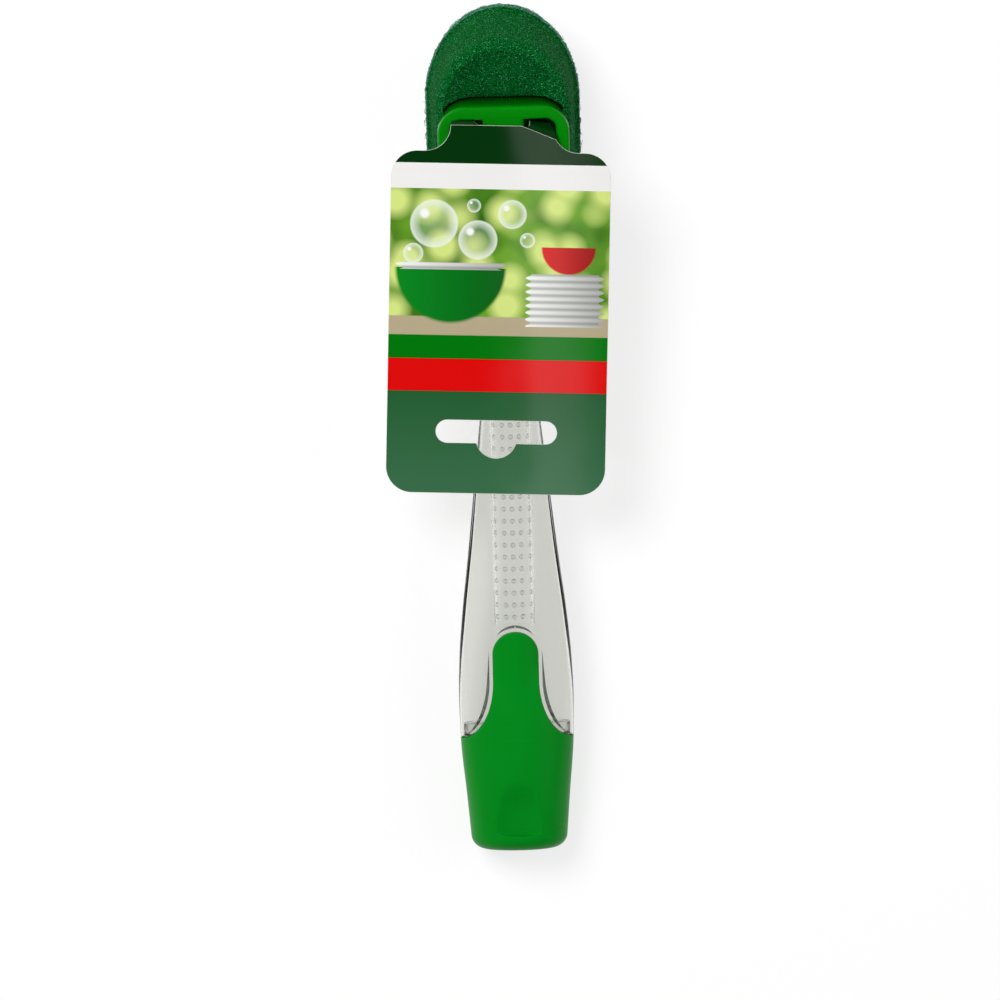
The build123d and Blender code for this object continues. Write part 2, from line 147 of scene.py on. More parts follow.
def steady_curve(at: np.ndarray, places: np.ndarray, values: np.ndarray) -> np.ndarray:
    """Run a smooth curve through a table without overshooting it.

    Args:
        at: where the curve is read.
        places: the table's places, rising.
        values: the table's values.

    Returns:
        The curve's values.
    """
    steps = np.diff(places)
    slopes = np.diff(values) / steps
    tangents = np.empty_like(values)
    tangents[0], tangents[-1] = slopes[0], slopes[-1]
    same_way = slopes[:-1] * slopes[1:] > 0
    total = np.where(same_way, slopes[:-1] + slopes[1:], 1)
    tangents[1:-1] = np.where(same_way, 2 * slopes[:-1] * slopes[1:] / total, 0)
    number = np.clip(np.searchsorted(places, at) - 1, 0, len(steps) - 1)
    step, share = steps[number], (at - places[number]) / steps[number]
    low, high = values[number], values[number + 1]
    out, into = tangents[number] * step, tangents[number + 1] * step
    return (low * (1 + 2 * share) * (1 - share) ** 2 + out * share * (1 - share) ** 2
            + high * share ** 2 * (3 - 2 * share) + into * share ** 2 * (share - 1))


def strip_faces(first: np.ndarray, second: np.ndarray, closed: bool) -> Faces:
    """Join two rows of vertex numbers with quads."""
    count = len(first)
    last = count if closed else count - 1
    return [(int(first[j]), int(first[(j + 1) % count]),
             int(second[(j + 1) % count]), int(second[j])) for j in range(last)]


def link_mesh(name: str, mesh: bpy.types.Mesh, sharp_degrees: float) -> Piece:
    """Turn a mesh's faces outwards, shade it and link it to the scene."""
    shape = bmesh.new()
    shape.from_mesh(mesh)
    bmesh.ops.remove_doubles(shape, verts=shape.verts, dist=2e-7)
    bmesh.ops.recalc_face_normals(shape, faces=shape.faces)
    shape.to_mesh(mesh)
    shape.free()
    mesh.shade_smooth()
    mesh.set_sharp_from_angle(angle=math.radians(sharp_degrees))
    piece = bpy.data.objects.new(name, mesh)
    bpy.context.scene.collection.objects.link(piece)
    return piece


def new_piece(name: str, points: np.ndarray, faces: Faces, place: Matrix,
              sharp_degrees: float = 40.0) -> Piece:
    """Make a piece from points in millimetres of one of the wand's frames.

    Args:
        name: the piece's name.
        points: an array of points, three columns.
        faces: vertex numbers of each face.
        place: turns the points into metres of the row frame.
        sharp_degrees: edges that turn more than this stay sharp.

    Returns:
        The piece, at the origin, with its place in its mesh.
    """
    turn = np.array(place)
    world = points @ turn[:3, :3].T + turn[:3, 3]
    mesh = bpy.data.meshes.new(name)
    mesh.from_pydata(world.tolist(), [], faces)
    mesh.update()
    return link_mesh(name, mesh, sharp_degrees)


def closed_loft(rings: list[np.ndarray], ends: tuple[bool, bool] = (True, True),
                around: bool = False) -> tuple[np.ndarray, Faces]:
    """Skin a list of rings that have the same number of points.

    Args:
        rings: arrays of points, three columns.
        ends: whether the first and the last ring are closed with a fan.
        around: whether the last ring joins the first, as on a tube with a bore.

    Returns:
        The points and the faces.
    """
    count = len(rings[0])
    points = np.concatenate(rings)
    numbers = np.arange(len(points)).reshape(len(rings), count)
    faces: Faces = []
    for lower, upper in zip(numbers[:-1], numbers[1:]):
        faces += strip_faces(lower, upper, True)
    if around:
        faces += strip_faces(numbers[-1], numbers[0], True)
        return points, faces
    for wanted, ring in zip(ends, (numbers[0], numbers[-1])):
        if wanted:
            middle = len(points)
            points = np.vstack([points, points[ring].mean(axis=0)])
            faces += [(middle, int(ring[j]), int(ring[(j + 1) % count])) for j in range(count)]
    return points, faces


def cad_copy(node: str, name: str, sharp_degrees: float = 30.0) -> Piece:
    """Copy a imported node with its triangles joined, so that it can be shaded smooth."""
    mesh = frame["nodes"][node].data.copy()
    mesh.materials.clear()
    mesh.name = name
    piece = link_mesh(name, mesh, sharp_degrees)
    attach(piece, BODY_OF[node])
    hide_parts(node)
    return piece


def settle(piece: Piece) -> Piece:
    """Turn a piece's modifiers into its plain mesh."""
    bpy.context.view_layer.update()
    graph = bpy.context.evaluated_depsgraph_get()
    mesh = bpy.data.meshes.new_from_object(piece.evaluated_get(graph))
    piece.modifiers.clear()
    piece.data = mesh
    return piece


def feed(tree: Tree, node: bpy.types.Node, inputs: dict) -> None:
    """Set a node's inputs, by name or number, to values or link them to sockets."""
    for key, value in inputs.items():
        if isinstance(value, Socket):
            tree.links.new(value, node.inputs[key])
        else:
            node.inputs[key].default_value = value


def add_node(tree: Tree, kind: str, inputs: dict | None = None,
             **settings: object) -> bpy.types.Node:
    """Add a node with its settings, values and links.

    Args:
        tree: the node tree.
        kind: the node's type name.
        inputs: input name or number, to a value or to the socket that feeds it.
        settings: the node's own properties.

    Returns:
        The node.
    """
    node = tree.nodes.new(kind)
    for name, value in settings.items():
        setattr(node, name, value)
    feed(tree, node, inputs or {})
    return node


def linear(colour: str) -> tuple[float, float, float, float]:
    """Turn an sRGB hex colour into linear red, green, blue and a full alpha."""
    shares = [int(colour[k:k + 2], 16) / 255 for k in (1, 3, 5)]
    red, green, blue = [c / 12.92 if c <= 0.04045 else ((c + 0.055) / 1.055) ** 2.4 for c in shares]
    return red, green, blue, 1.0


def per_metre(size: float) -> float:
    """Give a pattern's scale from the size of one of its marks in millimetres."""
    return 1 / (size * METRES)


def maths(tree: Tree, operation: str, *values: Socket | float) -> Socket:
    """Work out an operation on sockets and numbers."""
    return add_node(tree, "ShaderNodeMath", dict(enumerate(values)),
                    operation=operation).outputs[0]


def remap(tree: Tree, value: Socket, start: float, end: float, low: Socket | float = 0.0,
          high: Socket | float = 1.0, **settings: object) -> Socket:
    """Carry a value from the range between start and end over to that between low and high."""
    return add_node(tree, "ShaderNodeMapRange",
                    {"Value": value, "From Min": start, "From Max": end, "To Min": low,
                     "To Max": high}, **settings).outputs[0]


def vector(tree: Tree, **axes: Socket | float) -> Socket:
    """Join numbers to a vector."""
    return add_node(tree, "ShaderNodeCombineXYZ", axes).outputs[0]


def lay(tree: Tree, under: Colour, over: Colour, share: Socket) -> Socket:
    """Lay one colour over another where the share says."""
    pair = {key: linear(colour) if isinstance(colour, str) else colour
            for key, colour in (("A", under), ("B", over))}
    return add_node(tree, "ShaderNodeMix", {"Factor": share} | pair,
                    data_type="RGBA").outputs["Result"]


def grain(tree: Tree, place: Socket, size: float, detail: float, **inputs: float) -> Socket:
    """Give noise whose marks have a size in millimetres."""
    return add_node(tree, "ShaderNodeTexNoise",
                    {"Vector": place, "Scale": per_metre(size), "Detail": detail} | inputs).outputs[0]


def relief(tree: Tree, height: Socket, strength: float, depth: float) -> Socket:
    """Give the normal of a surface that is raised by a height, to a depth in millimetres."""
    return add_node(tree, "ShaderNodeBump",
                    {"Height": height, "Strength": strength, "Distance": depth * METRES}).outputs[0]


@dataclass(frozen=True)
class Finish:
    """A surface: a name for the real material and how it was made, and its look."""

    name: str

    def dress(self, tree: Tree, place: Socket) -> dict[str, object]:
        """Build the patterns.

        Args:
            tree: the material's node tree.
            place: object coordinates.

        Returns:
            The surface shader's inputs: values, and the sockets that feed them.
        """
        raise NotImplementedError

    def material(self) -> bpy.types.Material:
        """Give the material, made once."""
        known = bpy.data.materials.get(self.name)
        if known is not None:
            return known
        made = bpy.data.materials.new(self.name)
        made.use_nodes = True
        tree = made.node_tree
        tree.nodes.clear()
        shader = add_node(tree, "ShaderNodeBsdfPrincipled")
        place = add_node(tree, "ShaderNodeTexCoord").outputs["Object"]
        add_node(tree, "ShaderNodeOutputMaterial", {"Surface": shader.outputs[0]})
        feed(tree, shader, self.dress(tree, place))
        return made

    def put_on(self, piece: Piece) -> None:
        """Make this the piece's only material."""
        piece.data.materials.clear()
        piece.data.materials.append(self.material())


@dataclass(frozen=True)
class ClearStyrene(Finish):
    """Styrene-acrylonitrile, injection moulded and polished: water-clear, with a faint draw.

    The index of refraction is tuned to the photograph, not to the material: the
    real one is about 1.57, and renders the edges of the shell as thick black lines.
    """

    tint: str = "#EDEEEA"
    ior: float = 1.2
    roughness: float = 0.03
    gloss: float = 0.3
    draw_size: float = 16.0
    draw_depth: float = 0.05

    def dress(self, tree: Tree, place: Socket) -> dict[str, object]:
        """Let light through, and wave the surface as a moulding's cooling does."""
        draw = grain(tree, place, self.draw_size, 1.0)
        return {"Base Color": linear(self.tint), "Transmission Weight": 1.0, "IOR": self.ior,
                "Roughness": self.roughness, "Coat Weight": self.gloss,
                "Coat Roughness": self.roughness, "Normal": relief(tree, draw, 0.4, self.draw_depth)}


@dataclass(frozen=True)
class MouldedPlastic(Finish):
    """Coloured plastic, injection moulded in a spark-eroded or a polished tool."""

    colour: str
    deep_colour: str
    roughness: float
    grain_size: float = 0.35
    grain_depth: float = 0.012
    cloud_size: float = 22.0
    specular: float = 0.1

    def dress(self, tree: Tree, place: Socket) -> dict[str, object]:
        """Cloud the colour a little, and roughen the surface with the tool's grain."""
        cloud = grain(tree, place, self.cloud_size, 2.0)
        fine = grain(tree, place, self.grain_size, 3.0)
        return {"Base Color": lay(tree, self.deep_colour, self.colour, cloud),
                "Roughness": remap(tree, cloud, 0.0, 1.0, self.roughness * 0.9,
                                   self.roughness * 1.12),
                "IOR": 1.49, "Specular IOR Level": self.specular,
                "Normal": relief(tree, fine, 0.5, self.grain_depth)}


@dataclass(frozen=True)
class OpenCellFoam(Finish):
    """Polyether foam, coloured with a dye and cut: its pores darkened with painted shade, and painted
    glints on its struts.

    The cells are drawn coarse so that they show. The size of the real ones isn't
    known: the photograph doesn't resolve them.
    """

    painted_pore_shade: str = "#002E0E"
    body: str = "#006C24"
    painted_strut_glint: str = "#66BC90"
    cell_size: float = 0.68
    fine_size: float = 0.36

    def dress(self, tree: Tree, place: Socket) -> dict[str, object]:
        """Darken the cells' middles with painted shade, strew painted glints, and dent the surface by
        the distance to the nearest cell's wall.
        """
        cells = add_node(tree, "ShaderNodeTexVoronoi",
                         {"Vector": place, "Scale": per_metre(self.cell_size)},
                         feature="DISTANCE_TO_EDGE").outputs["Distance"]
        fine = grain(tree, place, self.fine_size, 2.0)
        walls = remap(tree, cells, 0.02, 0.26, 1.0, 0.0)
        # Painted shade: the cells' middles take the dark colour, the walls the foam's green.
        pore_shaded = lay(tree, self.painted_pore_shade, self.body, walls)
        # Painted glints: light specks where the fine noise peaks.
        return {"Base Color": lay(tree, pore_shaded, self.painted_strut_glint, remap(tree, fine, 0.6, 0.72)),
                "Roughness": 0.7, "Specular IOR Level": 0.03,
                "Normal": relief(tree, maths(tree, "ADD", walls, fine), 0.6, 0.22)}


@dataclass(frozen=True)
class ScouringWeb(Finish):
    """Nylon web with bonded grit, air-laid: wiry fibres, bluish dark green, rough all over."""

    shade: str = "#0A4A2C"
    colour: str = "#57AE82"
    fibre_size: float = 0.7

    def dress(self, tree: Tree, place: Socket) -> dict[str, object]:
        """Lay stretched noise over the web for its fibres and beads of resin."""
        web = grain(tree, place, self.fibre_size, 4.0, Distortion=1.5)
        return {"Base Color": lay(tree, self.shade, self.colour, remap(tree, web, 0.36, 0.66)),
                "Roughness": 0.62, "Specular IOR Level": 0.1,
                "Normal": relief(tree, web, 1.0, 0.4)}


@dataclass(frozen=True)
class PaperBoard(Finish):
    """Paperboard as the die cuts it: pale and matt, with short fibres."""

    colour: str = "#EDEBE4"
    fleck: str = "#D5D2C9"
    roughness: float = 0.85
    fibre_size: float = 0.3

    def dress(self, tree: Tree, place: Socket) -> dict[str, object]:
        """Fleck the board with its fibres."""
        fibres = grain(tree, place, self.fibre_size, 3.0)
        return {"Base Color": lay(tree, self.fleck, self.colour, fibres),
                "Roughness": self.roughness, "Normal": relief(tree, fibres, 0.3, 0.04)}


class Motif(Enum):
    """What a printed mark on the card shows."""

    BUBBLE = "bubble"
    BOWL = "bowl"
    PLATES = "plates"


@dataclass(frozen=True)
class PrintedMark:
    """One mark of the card's picture: its kind, middle and half sizes."""

    kind: Motif
    across: float
    along: float
    half_width: float
    half_height: float
    tone: str = "#FBFBF8"


@dataclass(frozen=True)
class PrintedCard(Finish):
    """Paperboard, offset printed and varnished: colour bands, a soft picture and a painted sheen on
    the lower green.
    """

    dark_ink: str = "#03330B"
    white: str = "#F4F3F1"
    leaf: str = "#6FA52B"
    light_leaf: str = "#D9EA86"
    deep_leaf: str = "#2F6B17"
    red: str = "#E30A0A"
    green: str = "#00780A"
    table: str = "#B9AC8C"
    # Green ink of the lower band. The lighter end at the bottom edge is a painted sheen.
    lower_green_ink_and_sheen: tuple[str, str] = ("#3C704C", "#1A5A28")
    bubble: str = "#F2FAEF"
    glint: str = "#FFFFFF"
    groove: str = "#6F786C"
    lower_edge: float = -118.0
    upper_edge: float = 5.0
    white_band: tuple[float, float] = (-20.3, -12.2)
    picture: tuple[float, float] = (-67.0, -20.3)
    table_top: float = -61.0
    red_band: tuple[float, float] = (-84.9, -74.5)
    bokeh_size: float = 11.0
    curl: float = 3.0
    curl_reach: float = 35.0
    warp_size: float = 30.0
    plate_pitch: float = 2.2
    marks: tuple[PrintedMark, ...] = (
        PrintedMark(Motif.BOWL, 22.0, -38.5, 8.6, 8.6, "#DE1512"),
        PrintedMark(Motif.PLATES, 21.0, -55.5, 12.5, 8.4),
        PrintedMark(Motif.BOWL, -15.5, -45.5, 17.5, 17.5, "#0B8A22"),
        PrintedMark(Motif.PLATES, -15.5, -45.0, 17.5, 1.1),
        PrintedMark(Motif.BUBBLE, -21.0, -31.5, 7.6, 7.6),
        PrintedMark(Motif.BUBBLE, -7.0, -36.5, 6.2, 6.2),
        PrintedMark(Motif.BUBBLE, 3.8, -28.2, 4.6, 4.6),
        PrintedMark(Motif.BUBBLE, -27.5, -41.0, 3.2, 3.2),
        PrintedMark(Motif.BUBBLE, 8.8, -36.4, 2.4, 2.4),
        PrintedMark(Motif.BUBBLE, -8.4, -25.6, 2.2, 2.2),
    )

    def dress(self, tree: Tree, place: Socket) -> dict[str, object]:
        """Print the bands and the picture in the card's own millimetres."""
        back = PLACES.card().inverted()
        spot = add_node(tree, "ShaderNodeMapping",
                        {"Vector": place, "Location": back.translation,
                         "Rotation": back.to_3x3().normalized().to_euler(),
                         "Scale": (1 / METRES,) * 3}).outputs[0]
        axes = add_node(tree, "ShaderNodeSeparateXYZ", {0: spot}).outputs
        across, along = axes["X"], axes["Y"]
        # Lower green band: printed green, lightened towards the bottom by a painted sheen.
        colour = lay(tree, *self.lower_green_ink_and_sheen,
                     remap(tree, along, self.lower_edge, self.red_band[1]))
        for ink, low, high in ((self.dark_ink, self.white_band[1], self.upper_edge),
                               (self.white, *self.white_band),
                               (self.leaves(tree, spot), *self.picture),
                               (self.table, self.picture[0], self.table_top)):
            colour = lay(tree, colour, ink, self.band(tree, along, low, high))
        for mark in self.marks:
            colour = self.draw(tree, colour, mark, across, along)
        for ink, low, high in ((self.green, self.red_band[1], self.picture[0]),
                               (self.red, *self.red_band)):
            colour = lay(tree, colour, ink, self.band(tree, along, low, high))
        warp = grain(tree, place, self.warp_size, 1.0)
        square = maths(tree, "MULTIPLY", across, across)
        curl = maths(tree, "MULTIPLY_ADD", square, -self.curl / self.curl_reach ** 2, warp)
        return {"Base Color": colour, "Roughness": 0.08, "IOR": 1.5,
                "Normal": relief(tree, curl, 1.0, 0.3)}

    def band(self, tree: Tree, along: Socket, low: float, high: float) -> Socket:
        """Give one between two places along the card, and nought outside them."""
        return maths(tree, "MULTIPLY", maths(tree, "GREATER_THAN", along, low),
                     maths(tree, "LESS_THAN", along, high))

    def leaves(self, tree: Tree, spot: Socket) -> Socket:
        """Blur a garden's greens into soft discs of light."""
        shades = add_node(tree, "ShaderNodeTexNoise",
                          {"Vector": spot, "Scale": 1 / (1.6 * self.bokeh_size), "Detail": 2.0})
        discs = add_node(tree, "ShaderNodeTexVoronoi",
                         {"Vector": spot, "Scale": 1 / self.bokeh_size, "Smoothness": 0.35},
                         feature="SMOOTH_F1")
        green = lay(tree, self.deep_leaf, self.leaf, remap(tree, shades.outputs[0], 0.36, 0.62))
        return lay(tree, green, self.light_leaf,
                   remap(tree, discs.outputs["Distance"], 0.62, 0.28))

    def draw(self, tree: Tree, under: Socket, mark: PrintedMark, across: Socket,
             along: Socket) -> Socket:
        """Print one mark of the picture.

        Args:
            tree: the material's node tree.
            under: the colour so far.
            mark: the mark.
            across: the place across the card.
            along: the place along the card.

        Returns:
            The colour with the mark on it.
        """
        side, rise = (remap(tree, at, middle - half, middle + half, -1.0, 1.0, clamp=False)
                      for at, middle, half in ((across, mark.across, mark.half_width),
                                               (along, mark.along, mark.half_height)))
        point = vector(tree, X=side, Y=rise)
        reach = add_node(tree, "ShaderNodeVectorMath", {0: point},
                         operation="LENGTH").outputs["Value"]
        inside = remap(tree, reach, 1.03, 0.97)
        if mark.kind is Motif.BUBBLE:
            rim = remap(tree, reach, 0.55, 1.0, 0.12, 0.85)
            colour = lay(tree, under, self.bubble, maths(tree, "MULTIPLY", rim, inside))
            glint = add_node(tree, "ShaderNodeVectorMath", {0: point, 1: (-0.4, 0.42, 0.0)},
                             operation="DISTANCE").outputs["Value"]
            return lay(tree, colour, self.glint, remap(tree, glint, 0.26, 0.12))
        dim = tuple(0.45 * part for part in linear(mark.tone)[:3]) + (1.0,)
        china = lay(tree, mark.tone, dim, remap(tree, side, -1.0, 1.0))
        if mark.kind is Motif.BOWL:
            lower = maths(tree, "LESS_THAN", rise, 0.0)
            return lay(tree, under, china, maths(tree, "MULTIPLY", inside, lower))
        turns = mark.half_height * 2 / self.plate_pitch
        wave = maths(tree, "SINE", maths(tree, "MULTIPLY", rise, turns * math.pi))
        width = remap(tree, wave, -1.0, 1.0, 0.86, 1.0)
        within = maths(tree, "LESS_THAN", maths(tree, "ABSOLUTE", side), width)
        level = maths(tree, "LESS_THAN", maths(tree, "ABSOLUTE", rise), 1.0)
        plates = lay(tree, china, self.groove, remap(tree, wave, -1.0, 0.6, 0.55, 0.0))
        return lay(tree, under, plates, maths(tree, "MULTIPLY", within, level))


def start_tree(name: str, inputs: dict[str, str]) -> tuple[Tree, dict]:
    """Start a node tree that gives a geometry.

    Args:
        name: the tree's name.
        inputs: the inputs' names and kinds, in order.

    Returns:
        The tree, and the sockets of its inputs.
    """
    tree = bpy.data.node_groups.new(name, "GeometryNodeTree")
    for label, kind in inputs.items():
        tree.interface.new_socket(label, in_out="INPUT", socket_type=f"NodeSocket{kind}")
    tree.interface.new_socket("Geometry", in_out="OUTPUT", socket_type="NodeSocketGeometry")
    return tree, add_node(tree, "NodeGroupInput").outputs


def end_tree(tree: Tree, copies: bpy.types.Node, finish: Finish) -> Tree:
    """Make a node's copies real, put a finish on them and end the tree there."""
    real = add_node(tree, "GeometryNodeRealizeInstances", {0: copies.outputs[0]})
    dressed = add_node(tree, "GeometryNodeSetMaterial",
                       {"Geometry": real.outputs[0], "Material": finish.material()})
    add_node(tree, "NodeGroupOutput", {0: dressed.outputs[0]})
    return tree


def grow(name: str, mesh: bpy.types.Mesh, tree: Tree, sizes: dict[str, float]) -> Piece:
    """Run a node tree with its named inputs on a mesh, and keep the plain result."""
    piece = bpy.data.objects.new(name, mesh)
    bpy.context.scene.collection.objects.link(piece)
    modifier = piece.modifiers.new(name, "NODES")
    modifier.node_group = tree
    for item in tree.interface.items_tree:
        if item.in_out == "INPUT" and item.name in sizes:
            modifier[item.identifier] = sizes[item.name]
    return settle(piece)


CLEAR = ClearStyrene("styrene_acrylonitrile_clear_moulded")
CLEAR_NUB = ClearStyrene("styrene_acrylonitrile_clear_moulded_nubs", ior=1.42)
# Near-black tint for the recess's walls: painted shade, a dark line round the tongue; the real walls
# are clear.
PAINTED_SHADE_EDGE = ClearStyrene("styrene_acrylonitrile_clear_moulded_painted_shade_edge", tint="#171D17")
CAP_GREEN = MouldedPlastic("polypropylene_green_satin_moulded", colour="#008E1F",
                           deep_colour="#008619", roughness=0.36)
BASE_GREEN = MouldedPlastic("polypropylene_green_gloss_moulded", colour="#008A06",
                            deep_colour="#008004", roughness=0.2, grain_depth=0.004,
                            specular=0.2)
WHITE_PLASTIC = MouldedPlastic("polyethylene_white_moulded", colour="#F0F1EE",
                               deep_colour="#E6E8E4", roughness=0.38)
SEAL_RUBBER = MouldedPlastic("nitrile_rubber_black_moulded", colour="#1B1B1C",
                             deep_colour="#141415", roughness=0.6)
SILICONE = MouldedPlastic("silicone_rubber_translucent_moulded", colour="#D9DDDC",
                          deep_colour="#CDD2D1", roughness=0.45)
FOAM = OpenCellFoam("polyether_foam_green_open_cell")
SCOURER = ScouringWeb("nylon_web_green_air_laid")
GRIT_FIBRE = ScouringWeb("nylon_fibre_green_grit_coated", shade="#165C3D", colour="#A6E0C4")
CUT_BOARD = PaperBoard("paperboard_white_die_cut")
GREY_BOARD = PaperBoard("paperboard_grey_back", colour="#C9C6BC")
PRINT = PrintedCard("paperboard_offset_printed_varnished")
PLAIN_PRINT = PaperBoard("paperboard_dark_green_printed", colour="#03330B", fleck="#06390F",
                         roughness=0.12)


@dataclass(frozen=True)
class SwellForm:
    """Outer form of the grip: a swell with a round ridge that runs on as the neck."""

    length: float = 170.0
    half_width: float = 18.45
    depth: float = 12.3
    rise: float = 13.3
    widest_drop: float = 4.0
    neck_radius: float = 6.9
    flute_blend: float = 0.6
    shares: tuple[tuple[float, float, float, float], ...] = (
        (0.000, 0.818, 0.925, 0.797),
        (0.100, 0.894, 1.000, 0.878),
        (0.215, 0.984, 0.977, 0.967),
        (0.294, 1.000, 0.857, 1.000),
        (0.365, 0.976, 0.647, 0.967),
        (0.435, 0.921, 0.436, 0.911),
        (0.565, 0.780, 0.361, 0.764),
        (0.706, 0.634, 0.316, 0.569),
        (0.853, 0.482, 0.278, 0.374),
        (1.000, 0.293, 0.226, 0.179),
    )

    def sizes(self, along: float) -> tuple[float, float, float]:
        """Give the swell's half width, rise and depth at a place along the wand."""
        table = np.array(self.shares)
        at = np.clip(np.array([along / self.length]), 0, 1)
        width, rise, depth = (float(steady_curve(at, table[:, 0], table[:, k])[0])
                              for k in (1, 2, 3))
        return self.half_width * width, self.rise * rise, self.depth * depth

    def ellipse_reach(self, angles: np.ndarray, half: float, rise: float,
                      depth: float) -> np.ndarray:
        """Give the reach of two half ellipses from their common middle."""
        tall = np.where(np.sin(angles) >= 0, rise, depth)
        return 1 / np.sqrt((np.cos(angles) / half) ** 2 + (np.sin(angles) / tall) ** 2)

    def circle_reach(self, angles: np.ndarray, radius: float) -> np.ndarray:
        """Give the reach of a circle about the axis from the swell's middle."""
        drop = self.widest_drop
        return drop * np.sin(angles) + np.sqrt(radius ** 2 - (drop * np.cos(angles)) ** 2)

    def ring(self, along: float, reach: np.ndarray, angles: np.ndarray) -> np.ndarray:
        """Place a ring of points from their reach about the swell's middle."""
        return np.stack([reach * np.cos(angles), np.full(len(angles), along),
                         reach * np.sin(angles) - self.widest_drop], axis=1)


@dataclass(frozen=True)
class TongueOutline:
    """Outline of the cap's tongue from above, with its swoop down to both sides."""

    cap_length: float = 36.5
    reach: float = 70.9
    half_width: float = 7.4
    swoop_start: float = 55.0
    side: float = 18.45

    def rows(self, border: float) -> list[tuple[float, float]]:
        """Give places along the wand and the outline's half width there.

        Args:
            border: how far the outline is grown.

        Returns:
            Pairs of a place and a half width, from the cap's split to the tip.
        """
        half, side = self.half_width + border, self.side + border
        tall = self.swoop_start - self.cap_length
        swoop = [(self.swoop_start - tall * math.cos(a), side - (side - half) * math.sin(a))
                 for a in np.linspace(0, math.pi / 2, 33)]
        tip = self.reach - self.half_width
        straight = [(at, half) for at in np.linspace(self.swoop_start, tip, 9)[1:-1]]
        arc = [(tip + half * math.sin(a), half * math.cos(a))
               for a in np.linspace(0, math.radians(88.5), 25)]
        return swoop + straight + arc


